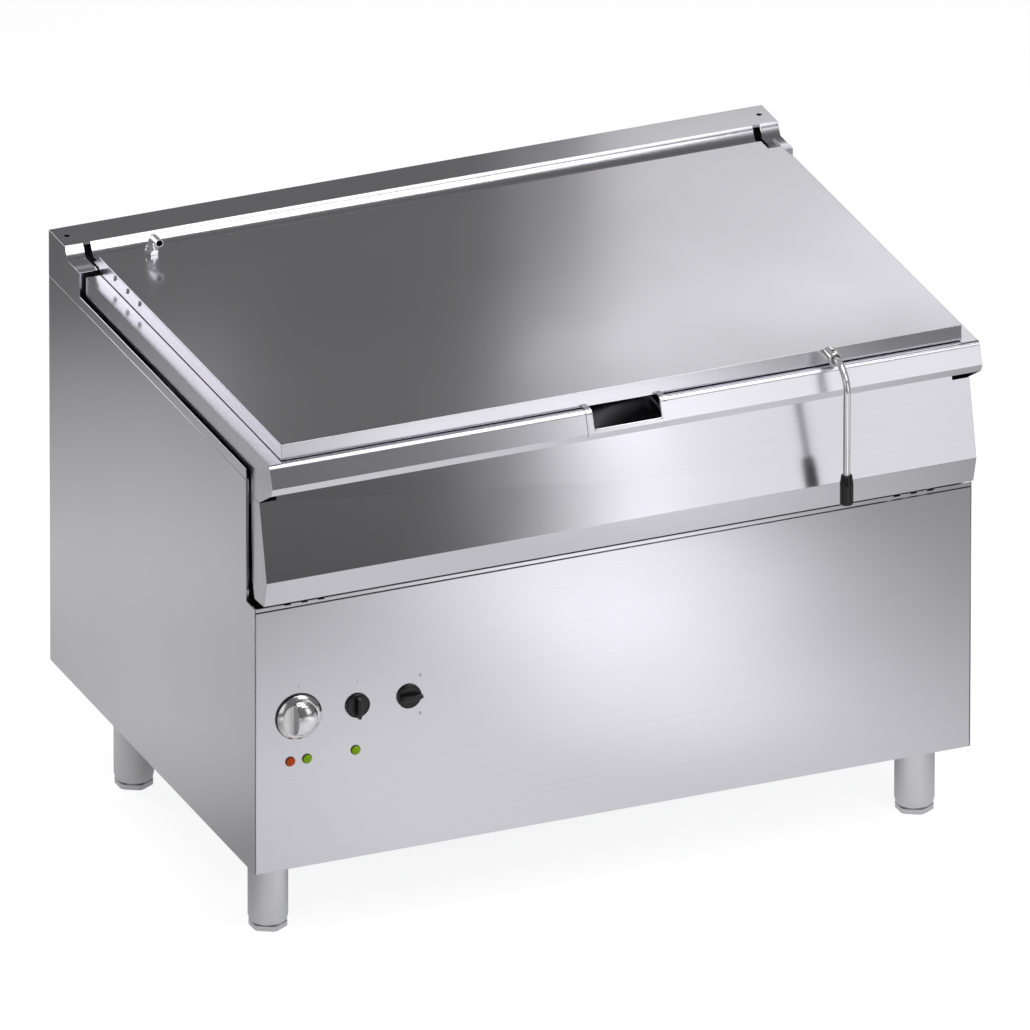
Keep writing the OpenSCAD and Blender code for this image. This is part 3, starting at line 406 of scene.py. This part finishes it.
def round_edges(shape, edges, radius):
    """Rounds some edges by a radius in mm, in three steps."""
    bmesh.ops.bevel(shape, geom=edges, offset=radius * MM, offset_type="OFFSET", segments=3,
                    profile=0.5, affect="EDGES", clamp_overlap=True, material=-1)


print("pieces with a body:", len(BODY_OF))

# %% [markdown]
# ## Folded edges
# A folded sheet has no knife edge: the bend is about as round as the sheet is thick,
# and it catches the light as a thin bright line. A bevel modifier would round every
# edge, holes too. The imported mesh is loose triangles, so each sheet gets a copy: its
# points are merged, its flats joined again, and only the long outer folds are rounded,
# while bored holes keep their crisp edge.

# %% A copy of a sheet piece with rounded folds
MERGE_WITHIN = 0.01 * MM
SAME_FLAT = math.radians(0.5)
SOFT_BELOW = math.radians(14)
FOLD_ABOVE = math.radians(20)
SHORTEST_FOLD = 14.0 * MM
ROOM_BESIDE = 1.3
FOLD_RADIUS = {
    "front_panel": ("sheet_x", 1.6), "front_rail": ("sheet_x", 0.7), "rear_column": ("sheet_x", 0.5),
    "casing": ("sheet_casing_painted_shade", 1.0), "rim": ("sheet_x", 1.5), "lid_shell": ("sheet_x", 1.4),
    "side_panel_left": ("sheet_y", 1.1), "side_panel_right": ("sheet_y", 1.1),
    "side_strips": ("sheet_y", 1.1), "pour_spout": ("sheet_x", 0.6),
}


def face_width(face):
    """How wide a long face is: its area shared out along its longest edge."""
    return face.calc_area() / max(edge.calc_length() for edge in face.edges)


def is_fold(edge, radius):
    """A long outer edge between two faces that are wide enough for the radius, in mm."""
    return (len(edge.link_faces) == 2 and edge.is_convex and edge.calc_length() > SHORTEST_FOLD
            and edge.calc_face_angle(0.0) > FOLD_ABOVE
            and min(face_width(face) for face in edge.link_faces) > ROOM_BESIDE * radius * MM)


def rounded_copy(name, finish, radius):
    """Stands a copy with rounded folds in for a packed sheet and counts the folds."""
    shape = bmesh.new()
    shape.from_mesh(nodes[name].data)
    bmesh.ops.remove_doubles(shape, verts=shape.verts, dist=MERGE_WITHIN)
    bmesh.ops.dissolve_limit(shape, angle_limit=SAME_FLAT, verts=shape.verts, edges=shape.edges)
    for edge in shape.edges:
        edge.smooth = edge.calc_face_angle(0.0) < SOFT_BELOW
    folds = [edge for edge in shape.edges if is_fold(edge, radius)]
    for edge in folds:
        edge.smooth = True
    round_edges(shape, folds, radius)
    piece = finish_mesh(shape, name + "_folded", finish, BODY_OF[name], sharp=None)
    weigh = piece.modifiers.new("flats_stay_flat", "WEIGHTED_NORMAL")
    weigh.keep_sharp = True
    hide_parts(name)
    return len(folds)


for name, (finish, radius) in FOLD_RADIUS.items():
    print(name, "folds rounded:", rounded_copy(name, finish, radius))

# %% [markdown]
# ## Turned and cast small parts
# A control is read by its outline. It could be built from cylinders and cones, but a
# profile holds every step and rounding in one list. Each one here starts as a profile of
# (radius, distance from the panel) that is spun about its stem, then cut or given a bar.

# %% Helpers for turned parts
TOUCHING = 0.001 * MM


def turned(profile, centre, steps=96, axis="y"):
    """A profile in mm spun about an axis; distances run out of the panel, or upwards."""
    shape = bmesh.new()
    if axis == "y":
        points = [shape.verts.new((r * MM, -h * MM, 0)) for r, h in profile]
        spindle = (0, 1, 0)
    else:
        points = [shape.verts.new((r * MM, 0, h * MM)) for r, h in profile]
        spindle = (0, 0, 1)
    lines = [shape.edges.new(pair) for pair in zip(points, points[1:])]
    bmesh.ops.spin(shape, geom=points + lines, cent=(0, 0, 0), axis=spindle,
                   angle=math.tau, steps=steps, use_merge=True)
    bmesh.ops.remove_doubles(shape, verts=shape.verts, dist=TOUCHING)
    bmesh.ops.recalc_face_normals(shape, faces=shape.faces)
    bmesh.ops.translate(shape, vec=centre, verts=shape.verts)
    return shape


def joined(*shapes):
    """Several shapes gathered into one, so that they make one object."""
    whole = shapes[0]
    for other in shapes[1:]:
        spare = bpy.data.meshes.new("spare")
        other.to_mesh(spare)
        other.free()
        whole.from_mesh(spare)
        bpy.data.meshes.remove(spare)
    return whole


def axis_of(name):
    """The middle of a control on the panel's plane."""
    lo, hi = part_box(name)
    return Vector(((lo.x + hi.x) / 2, PANEL_Y, (lo.z + hi.z) / 2))


dial = axis_of("knob_temperature")
print("dial at", [round(v, 4) for v in dial])

# %% [markdown]
# ## The skirt behind the temperature knob
# A flat black disc with a small rounding lies on the panel. A plain cylinder would do
# from afar, but its edge would be a hard line beside the chrome.

# %% Knob skirt
SKIRT = [(0, 0.1), (38.5, 0.1), (38.5, 1.9), (37.9, 2.5), (0, 2.5)]
skirt = finish_mesh(turned(SKIRT, dial), "knob_skirt_turned", "black_plastic",
                    "temperature_control")
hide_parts("knob_skirt")
print("skirt points:", len(skirt.data.vertices))

# %% [markdown]
# ## The temperature knob
# A chromed body with a flange carries a dome that is scooped out on one side; the ridge
# that is left is the pointer, and the thumb rests in the scoop. A boolean cut would leave
# ragged shading. Here the dome is sliced into strips left of the ridge, and their points
# are pushed down to a curve that falls off steeply.

# %% Temperature knob
FLANGE = [(0, 2.6), (36.6, 2.6), (37.3, 3.0), (37.3, 4.6), (36.8, 5.2), (30.6, 9.6), (29.6, 10.0), (0, 10.0)]
DOME_RADIUS, DOME_HEIGHT = 28.8, 15.0
DOME_FOOT, DOME_START, DOME_STEPS = 9.0, 9.6, 24
RIDGE, JUST_LEFT = -8.5, 0.01
SLICES = (0, 0.5, 1.1, 1.9, 3, 4.5, 6.5, 9.5, 14)
SCOOP_FLOOR, SCOOP_RISE, SCOOP_FADE = 10.2, 14.0, 2.6


def ellipse_arc(radius, height, start, count):
    """Points of a flat dome, from its edge to its top."""
    return [(radius * math.cos(t), start + height * math.sin(t))
            for t in (math.pi / 2 * k / count for k in range(count + 1))]


def scooped(x):
    """How far the scoop's floor stands out, in mm, at a distance left of the ridge."""
    return SCOOP_FLOOR + SCOOP_RISE * math.exp((x - RIDGE) / SCOOP_FADE)


arc = ellipse_arc(DOME_RADIUS, DOME_HEIGHT, DOME_START, DOME_STEPS)
dome = turned([(0, DOME_FOOT), (DOME_RADIUS, DOME_FOOT)] + arc, (0, 0, 0))
for step in SLICES:
    bmesh.ops.bisect_plane(dome, geom=dome.verts[:] + dome.edges[:] + dome.faces[:], dist=TOUCHING,
                           plane_co=((RIDGE - step) * MM, 0, 0), plane_no=(1, 0, 0))
for vert in dome.verts:
    if vert.co.x < (RIDGE - JUST_LEFT) * MM and vert.co.y < -DOME_START * MM:
        vert.co.y = max(vert.co.y, -scooped(vert.co.x / MM) * MM)
bmesh.ops.recalc_face_normals(dome, faces=dome.faces)
bmesh.ops.translate(dome, vec=dial, verts=dome.verts)
chrome = finish_mesh(joined(turned(FLANGE, dial), dome), "knob_temperature_cast", "satin_chrome",
                     "temperature_control")
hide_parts("knob_temperature")
print("temperature knob points:", len(chrome.data.vertices))

# %% [markdown]
# ## The two small knobs
# Each has a low disc and a bar whose tip passes the disc's edge. The power knob's bar
# stands upright and points down; the tilt selector's lies level and points right. The bar
# could be a stretched cube; an outline made solid gives its pointed tip and its taper.

# %% Small knobs
DISC = [(0, 0.5), (19.3, 0.5), (19.8, 1.0), (19.8, 3.8), (19.1, 4.6), (17.5, 4.9), (16.9, 4.3), (0, 4.3)]
BAR = [(-16.5, -3.2), (-16.5, 3.2), (-13, 4.6), (14, 4.6), (22, 0.9), (22, -0.9), (14, -4.6), (-13, -4.6)]
BAR_NEAR, BAR_FAR = 4.0, 14.0
BAR_TAPER, BAR_ROUND = 0.86, 0.8
SMALL_KNOBS = (("knob_power", "power_control", -90), ("knob_tilt", "tilt_control", 0))


def slab(outline, near, far, centre, taper=1.0, round_off=0.0):
    """An outline in mm, seen from the front, made solid from one distance to another."""
    shape = bmesh.new()
    low = [shape.verts.new((x * MM, -near * MM, z * MM)) for x, z in outline]
    base = shape.faces.new(low)
    grown = bmesh.ops.extrude_face_region(shape, geom=[base])["geom"]
    for v in (item for item in grown if isinstance(item, bmesh.types.BMVert)):
        v.co = Vector((v.co.x * taper, -far * MM, v.co.z * taper))
    bmesh.ops.recalc_face_normals(shape, faces=shape.faces)
    if round_off:
        above = -near * MM - MERGE_WITHIN
        outer = [edge for edge in shape.edges if all(v.co.y < above for v in edge.verts)]
        round_edges(shape, outer, round_off)
    bmesh.ops.translate(shape, vec=centre, verts=shape.verts)
    return shape


for name, body, turn in SMALL_KNOBS:
    hub = axis_of(name)
    cosine, sine = round(math.cos(math.radians(turn))), round(math.sin(math.radians(turn)))
    swung = [(x * cosine - z * sine, x * sine + z * cosine) for x, z in BAR]
    bar = slab(swung, BAR_NEAR, BAR_FAR, hub, BAR_TAPER, BAR_ROUND)
    knob = finish_mesh(joined(turned(DISC, hub), bar), name + "_moulded", "black_plastic",
                       body)
    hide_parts(name)
print("small knobs:", len(SMALL_KNOBS))

# %% [markdown]
# ## Rings round the lamps
# A lens sits in a thin ring of darker plastic of its own colour. Without it the lens
# would seem to be painted on the sheet. The ring is turned like the knobs, about the
# middle of each lens.

# %% Lamp rings
RING = [(6.7, 0.1), (8.1, 0.1), (8.1, 1.3), (7.6, 1.9), (6.9, 1.9), (6.7, 1.6), (6.7, 0.1)]
RING_STEPS = 48
LAMP_NODES = (("lamp_orange", "ring_orange", "lamp_orange"), ("lamps_green", "ring_green", "lamp_green"))
for name, finish, slot in LAMP_NODES:
    lo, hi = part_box(name)
    radius = (hi.z - lo.z) / 2
    places = [lo.x + radius] if name == "lamp_orange" else [lo.x + radius, hi.x - radius]
    for k, x in enumerate(places):
        ring = turned(RING, (x, PANEL_Y, (lo.z + hi.z) / 2), RING_STEPS)
        finish_mesh(ring, f"{name}_ring_{k}", finish, "cabinet")
    print(name, "rings:", len(places))

# %% [markdown]
# ## Plain marks
# Ticks and two arrows say where a knob points and which way the pan goes. They could be
# an image on the panel. Thin slabs of a duller grey that stand 0.12 mm proud stay sharp
# at any distance and show as a faint change of grey. Each line of the table gives a
# name, an outline, the knob beside it, the way right and up in mm, and -1 to turn it over.

# %% Marks
TICK = [(-0.5, 0), (0.5, 0), (0.5, 6.5), (-0.5, 6.5)]
ARROW = [(0, 7.5), (-3.4, 2.6), (-1.0, 2.6), (-1.0, 0), (1.0, 0), (1.0, 2.6), (3.4, 2.6)]
MARK_HEIGHT = 0.12
power, tilt = axis_of("knob_power"), axis_of("knob_tilt")
marks = [("mark_dial", TICK, dial, 0, 47, 1), ("mark_power", TICK, power, 0, 38, 1),
         ("mark_up", ARROW, tilt, 19, 29, 1), ("mark_down", ARROW, tilt, 19, -29, -1)]
for name, outline, hub, dx, dz, flip in marks:
    place = hub + Vector((dx * MM, 0, dz * MM))
    mark = slab([(x, z * flip) for x, z in outline], 0.0, MARK_HEIGHT, place)
    finish_mesh(mark, name, "etched", "cabinet")
print("marks:", len(marks))

# %% [markdown]
# ## The bead round the pouring mouth
# The mouth's edge is rolled into a thin bead, so that food slides over it. A curve with a
# round bevel could make it, but it would have to be turned into a mesh later. The bead
# lies in the rim's sloping face: a round section is carried along three sides and mitred
# at the bends.

# %% A rod along a path
MITRE_LIMIT = 0.5


def rod(path, radius, out, sides=16):
    """A round rod along a flat path; out is the direction the path's plane faces."""
    shape = bmesh.new()
    rings = []
    for k, point in enumerate(path):
        before = (point - path[k - 1]).normalized() if k else (path[1] - point).normalized()
        after = (path[k + 1] - point).normalized() if k + 1 < len(path) else before
        along = (before + after).normalized()
        side = out.cross(along) / max(MITRE_LIMIT, along.dot(before))
        rings.append([shape.verts.new(point + radius * (side * math.cos(a) + out * math.sin(a)))
                      for a in (math.tau * j / sides for j in range(sides))])
    for low, high in zip(rings, rings[1:]):
        for j in range(sides):
            shape.faces.new((low[j], low[(j + 1) % sides], high[(j + 1) % sides], high[j]))
    shape.faces.new(rings[0])
    shape.faces.new(rings[-1])
    bmesh.ops.recalc_face_normals(shape, faces=shape.faces)
    return shape


print("rod helper, mitres up to", round(1 / MITRE_LIMIT, 1), "times the radius")

# %% [markdown]
# ## Where the bead lies
# The rim's face leans back as it rises. Its slope and one point on it place the bead.
# The right half is drawn from the top down and round the bend, and the left half mirrors
# it, so that both are alike.

# %% Bead round the mouth
FACE_OUT = Vector((0, -0.937, 0.349))
FACE_Y, FACE_Z, FACE_SLOPE = -0.4112, 0.826, 0.3725
MOUTH_TOP, MOUTH_LOW = 0.8425, 0.8165
BEAD_INSET, BEAD_PROUD = 10, 0.9
BEAD_RADIUS, BEAD_CORNER, BEND_STEPS = 1.1 * MM, 4 * MM, 6
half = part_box("pour_spout")[1].x - BEAD_INSET * MM


def on_face(x, z):
    """A point on the rim's sloping face, just proud of it."""
    return Vector((x, FACE_Y + (z - FACE_Z) * FACE_SLOPE, z)) + FACE_OUT * BEAD_PROUD * MM


bend = [(half - BEAD_CORNER + BEAD_CORNER * math.cos(t), MOUTH_LOW + BEAD_CORNER + BEAD_CORNER * math.sin(t))
        for t in (-math.pi / 2 * k / BEND_STEPS for k in range(BEND_STEPS + 1))]
right = [on_face(half, MOUTH_TOP)] + [on_face(x, z) for x, z in bend]
left = [Vector((-v.x, v.y, v.z)) for v in reversed(right)]
bead = rod(right + left, BEAD_RADIUS, FACE_OUT)
finish_mesh(bead, "mouth_bead", "polished", "pan")
print("bead points:", len(right + left))

# %% [markdown]
# ## The steam elbow's tube
# Steam leaves the closed lid through a bent tube. Two cylinders and part of a torus could
# be joined; one ring of points that travels leaves no seams. It is pushed up, swung
# through a quarter turn and pushed forwards. Then it shrinks and goes back inside, so
# that the mouth shows a wall and a bore; the bore is painted near-black as painted shade.

# %% Steam tube
FOOT_FROM_REAR = 10.4
BEND, TUBE = 14.0 * MM, 6.4 * MM
RISER, RUN = 16 * MM, 17.2 * MM
BORE_SHARE, BORE_DEPTH = 0.86, 9 * MM
BORE_REACH, BORE_LIMIT = 9.2 * MM, TUBE * 0.9
TUBE_SIDES, BEND_PIECES = 48, 20
lo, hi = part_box("vent_elbow")
foot = Vector(((lo.x + hi.x) / 2, hi.y - FOOT_FROM_REAR * MM, lo.z))


def push(shape, ring, step):
    """Extrudes a ring of edges by a step and gives back the new ring."""
    grown = bmesh.ops.extrude_edge_only(shape, edges=ring)["geom"]
    bmesh.ops.translate(shape, vec=step, verts=[v for v in grown if isinstance(v, bmesh.types.BMVert)])
    return [e for e in grown if isinstance(e, bmesh.types.BMEdge) and e.is_boundary]


def in_bore(face, middle):
    """Whether a face is part of the bore: near the mouth, and inside the tube's wall."""
    near = (face.calc_center_median() - middle).length < BORE_REACH
    return near and all((v.co - middle - Vector((0, v.co.y - middle.y, 0))).length < BORE_LIMIT
                        for v in face.verts)


pipe = bmesh.new()
start = bmesh.ops.create_circle(pipe, cap_ends=False, radius=TUBE, segments=TUBE_SIDES)["verts"]
ring = push(pipe, list({edge for vert in start for edge in vert.link_edges}), Vector((0, 0, RISER)))
swung = bmesh.ops.spin(pipe, geom=ring, cent=(0, -BEND, RISER), axis=(-1, 0, 0),
                       angle=-math.pi / 2, steps=BEND_PIECES)["geom_last"]
ring = push(pipe, [e for e in swung if isinstance(e, bmesh.types.BMEdge)], Vector((0, -RUN, 0)))
end = {v for e in ring for v in e.verts}
middle = sum((v.co for v in end), Vector()) / len(end)
ring = push(pipe, ring, Vector((0, 0, 0)))
for v in {v for e in ring for v in e.verts}:
    v.co = middle + (v.co - middle) * BORE_SHARE
ring = push(pipe, ring, Vector((0, BORE_DEPTH, 0)))
bmesh.ops.contextual_create(pipe, geom=ring)
bmesh.ops.recalc_face_normals(pipe, faces=pipe.faces)
# The bore's faces take the near-black painted shade of the tube's inside.
bore = [face for face in pipe.faces if in_bore(face, middle)]
for face in bore:
    face.material_index = 1
bmesh.ops.translate(pipe, vec=foot, verts=pipe.verts)
elbow = finish_mesh(pipe, "vent_tube", "polished", "lid")
elbow.data.materials.append(finishes["painted_shade"])
print("elbow mouth at", [round(v, 4) for v in foot + middle], "bore faces", len(bore))

# %% [markdown]
# ## The steam elbow's collar
# The tube stands in a six-sided nut with a round ring above it. A profile spun in six
# steps is a nut; the same function in 48 steps is a ring, so no new helper is needed.

# %% Elbow collar
NUT = [(0, 0), (10.6, 0), (11.6, 0.8), (11.6, 6.4), (10.8, 7.2), (8.6, 7.6), (8.6, 12.4), (8.0, 13.2),
       (0, 13.2)]
NUT_SIDES = 6
COLLAR = [(0, 7.0), (8.9, 7.0), (9.4, 7.6), (9.4, 12.6), (8.8, 13.4), (0, 13.4)]
nut = turned(NUT, foot, NUT_SIDES, axis="z")
collar = turned(COLLAR, foot, TUBE_SIDES, axis="z")
vent_collar = finish_mesh(joined(nut, collar), "vent_collar", "polished", "lid")
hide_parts("vent_elbow")
print("collar foot at", [round(v, 4) for v in foot])

# %% [markdown]
# ## The handle's socket
# The bent rod is gripped in a short turned socket on the lid's front edge, open at its
# front and with a raised lip there. A small grub screw in its top holds the rod; it is
# painted near-black as painted shade for its hole. A plain cylinder would hide the dark
# gap round the rod; one profile gives wall and bore.

# %% Handle socket
LIP = 11.4
SOCKET = [(0, 0), (10.5, 0), (10.5, 21.5), (LIP, 22.6), (LIP, 28.2), (10.8, 29), (8.8, 29), (8.2, 28.4),
          (8.2, 12), (0, 12)]
GRUB = [(0, 9.0), (2.7, 9.0), (2.7, 10.7), (0, 10.7)]
GRUB_FORWARD, GRUB_STEPS = 17, 24
lo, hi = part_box("handle_boss")
seat = Vector(((lo.x + hi.x) / 2, hi.y, (lo.z + hi.z) / 2))
socket = finish_mesh(turned(SOCKET, seat), "handle_socket", "polished", "lid")
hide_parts("handle_boss")
grub = turned(GRUB, seat + Vector((0, -GRUB_FORWARD * MM, 0)), GRUB_STEPS, axis="z")
# The grub screw wears the near-black painted shade of its hole.
finish_mesh(grub, "handle_grub_screw", "painted_shade", "lid")
print("socket at", [round(v, 4) for v in seat], "lip radius in mm", LIP)

# %% [markdown]
# ## The floor
# The camera sees a plain white floor. Sheet metal shows what it mirrors, so the floor
# also has soft round glows that only mirror-like surfaces see; they give each panel its
# own shade. Reflector cards would do the same, but they would have to be hidden from the
# camera one by one. The floor scatters light too, which keeps the machine's soft shadow.
# Each glow is given as x, y, radius and strength.

# %% Floor
FLOOR_SIZE = 60.0
FLOOR_DROP = 0.5 * MM
FLOOR_GREY = 0.5
FLOOR_GLOW = 0.85
FLOOR_SPOTS = [
    (0.20, -0.80, 1.40, 0.36), (0.45, -1.15, 0.80, 0.11), (0.35, -1.00, 0.40, 0.37),
    (-0.40, -0.70, 0.90, 0.31), (0.50, -0.50, 0.80, 0.15), (0.43, -1.41, 0.49, 0.82),
    (0.45, -2.05, 0.70, 1.30), (-0.90, 0.50, 0.90, 0.14), (-0.70, 0.32, 0.62, 0.21),
    (-1.10, 1.30, 0.90, 0.18), (-0.80, 0.90, 0.80, 0.18), (-0.54, -0.27, 0.45, 0.14),
    (-0.54, 0.27, 0.45, 0.03), (0.54, -0.27, 0.45, 0.10), (-0.10, -1.30, 0.70, 0.14),
    (0.80, -2.12, 0.36, 0.90), (-0.45, -2.25, 0.60, 1.20), (-1.40, -1.60, 1.10, 0.80),
    (2.10, -1.30, 1.10, 0.80),
]


def floor_glow(tree):
    """White to the camera, and the sum of all round glows to mirror-like surfaces."""
    path = add(tree, "ShaderNodeLightPath")
    total = add(tree, "ShaderNodeMath", {"operation": "MULTIPLY"}, _0=path.outputs["Is Camera Ray"],
                _1=FLOOR_GLOW).outputs["Value"]
    for x, y, radius, strength in FLOOR_SPOTS:
        away = add(tree, "ShaderNodeVectorMath", {"operation": "DISTANCE"}, _1=(x, y, 0),
                   _0=object_space(tree, (1, 1, 1)))
        fade = add(tree, "ShaderNodeMapRange", {"interpolation_type": "SMOOTHERSTEP"},
                   Value=away.outputs["Value"], From_Min=0.0, From_Max=radius,
                   To_Min=strength, To_Max=0.0)
        total = add(tree, "ShaderNodeMath", {"operation": "MULTIPLY_ADD"},
                    _0=path.outputs["Is Glossy Ray"], _1=fade.outputs["Result"], _2=total).outputs["Value"]
    return add(tree, "ShaderNodeEmission", Color=(1, 1, 1, 1), Strength=total)


def make_floor():
    """A wide floor that scatters light, with its glow added on top."""
    mesh = bpy.data.meshes.new("floor")
    shape = bmesh.new()
    bmesh.ops.create_grid(shape, x_segments=1, y_segments=1, size=FLOOR_SIZE / 2)
    shape.to_mesh(mesh)
    shape.free()
    floor = bpy.data.objects.new("floor", mesh)
    floor.location.z = -FLOOR_DROP
    bpy.context.collection.objects.link(floor)
    mat, tree, shader = new_material("floor_white")
    shader.inputs["Base Color"].default_value = (FLOOR_GREY, FLOOR_GREY, FLOOR_GREY, 1)
    shader.inputs["Roughness"].default_value = 1.0
    shader.inputs["Specular IOR Level"].default_value = 0.0
    glow = floor_glow(tree)
    both = add(tree, "ShaderNodeAddShader", _0=shader.outputs["BSDF"], _1=glow.outputs["Emission"])
    out = next(n for n in tree.nodes if n.type == "OUTPUT_MATERIAL")
    tree.links.new(both.outputs["Shader"], out.inputs["Surface"])
    floor.data.materials.append(mat)


make_floor()
print("floor glows:", len(FLOOR_SPOTS))

# %% [markdown]
# ## The world
# A white world would light the machine flatly from all sides. The camera sees white
# behind the machine, and everything else gets a weak grey sky, so that the lamps decide
# where it is bright.

# %% World
SKY_GREY = 0.155


def make_world():
    """White to the camera and a weak grey to all other rays."""
    world = bpy.data.worlds.new("studio")
    bpy.context.scene.world = world
    world.use_nodes = True
    tree = world.node_tree
    tree.nodes.clear()
    path = add(tree, "ShaderNodeLightPath")
    camera_sees = add(tree, "ShaderNodeBackground", Color=(1, 1, 1, 1), Strength=1.0)
    rest = add(tree, "ShaderNodeBackground", Color=(1, 1, 1, 1), Strength=SKY_GREY)
    mix = add(tree, "ShaderNodeMixShader", _0=path.outputs["Is Camera Ray"],
              _1=rest.outputs["Background"], _2=camera_sees.outputs["Background"])
    out = add(tree, "ShaderNodeOutputWorld")
    tree.links.new(mix.outputs["Shader"], out.inputs["Surface"])


make_world()
print("sky grey:", SKY_GREY)

# %% [markdown]
# ## Lamps
# A product studio hangs large soft boxes where the sheets mirror them. Points or spots
# of light would show as hard dots on steel, so every lamp here is a rectangle. A plain
# lamp has a name, a place, an aim, a size and its watts. A soft box has a name, the plane
# y where it stands, its left, right, low and high edge, and how bright its face is. Boxes
# behind the machine are tipped down.

# %% Lamps and soft boxes
LAMPS = [
    ("overhead", (0.3, -0.8, 3.6), (0, 0, 0.8), (2.2, 1.6), 40),
    ("left_front", (-2.3, -1.6, 1.2), (-0.3, -0.4, 0.6), (1.4, 1.5), 5),
]
BEHIND, IN_FRONT = 1.6, -2.0
SOFT_BOXES = [
    ("lid_left", BEHIND, -0.10, 0.15, 1.78, 1.95, 0.39),
    ("lid_step_low", BEHIND, 0.65, 0.80, 1.40, 1.78, 0.13),
    ("lid_step_high", BEHIND, 0.65, 0.80, 1.78, 1.95, 0.59),
    ("lid_low", BEHIND, 0.80, 1.30, 1.40, 1.78, 0.54),
    ("lid_high", BEHIND, 0.80, 1.30, 1.78, 1.95, 0.85),
    ("lid_right", BEHIND, 1.30, 1.80, 1.40, 1.95, 0.84),
    ("flange", BEHIND, -1.70, -0.90, 1.40, 2.00, 1.14),
    ("left_folds", BEHIND, -2.00, -0.60, 0.60, 1.40, 1.35),
    ("casing_bright", IN_FRONT, 0.52, 0.70, 0.35, 1.42, 1.38),
    ("casing_right", IN_FRONT, 0.70, 1.50, 0.35, 1.42, 0.82),
    ("slope", IN_FRONT, 0.10, 1.80, 1.85, 3.55, 1.42),
]
WATTS_PER_SQUARE_METRE = 4
TIP = 0.35


def soft_lamp(name, place, aim, size, power):
    """A rectangle of light that the camera itself does not see."""
    data = bpy.data.lights.new(name, "AREA")
    data.shape = "RECTANGLE"
    data.size, data.size_y = size
    data.energy = power
    lamp = bpy.data.objects.new(name, data)
    bpy.context.collection.objects.link(lamp)
    lamp.location = place
    lamp.rotation_euler = (Vector(aim) - Vector(place)).to_track_quat("-Z", "Y").to_euler()
    lamp.visible_camera = False


for lamp in LAMPS:
    soft_lamp(*lamp)
for name, y, x0, x1, z0, z1, level in SOFT_BOXES:
    middle = Vector(((x0 + x1) / 2, y, (z0 + z1) / 2))
    drop = TIP * y if y > 0 else 0
    watts = WATTS_PER_SQUARE_METRE * (x1 - x0) * (z1 - z0) * level
    soft_lamp(name, middle, Vector((middle.x, 0, middle.z - drop)), (x1 - x0, z1 - z0), watts)
print("lamps:", len(LAMPS) + len(SOFT_BOXES))

# %% [markdown]
# A filmic view would bend the greys of white paper and steel. The standard view keeps
# them as they are lit.

# %% Settings
bpy.context.scene.view_settings.view_transform = "Standard"
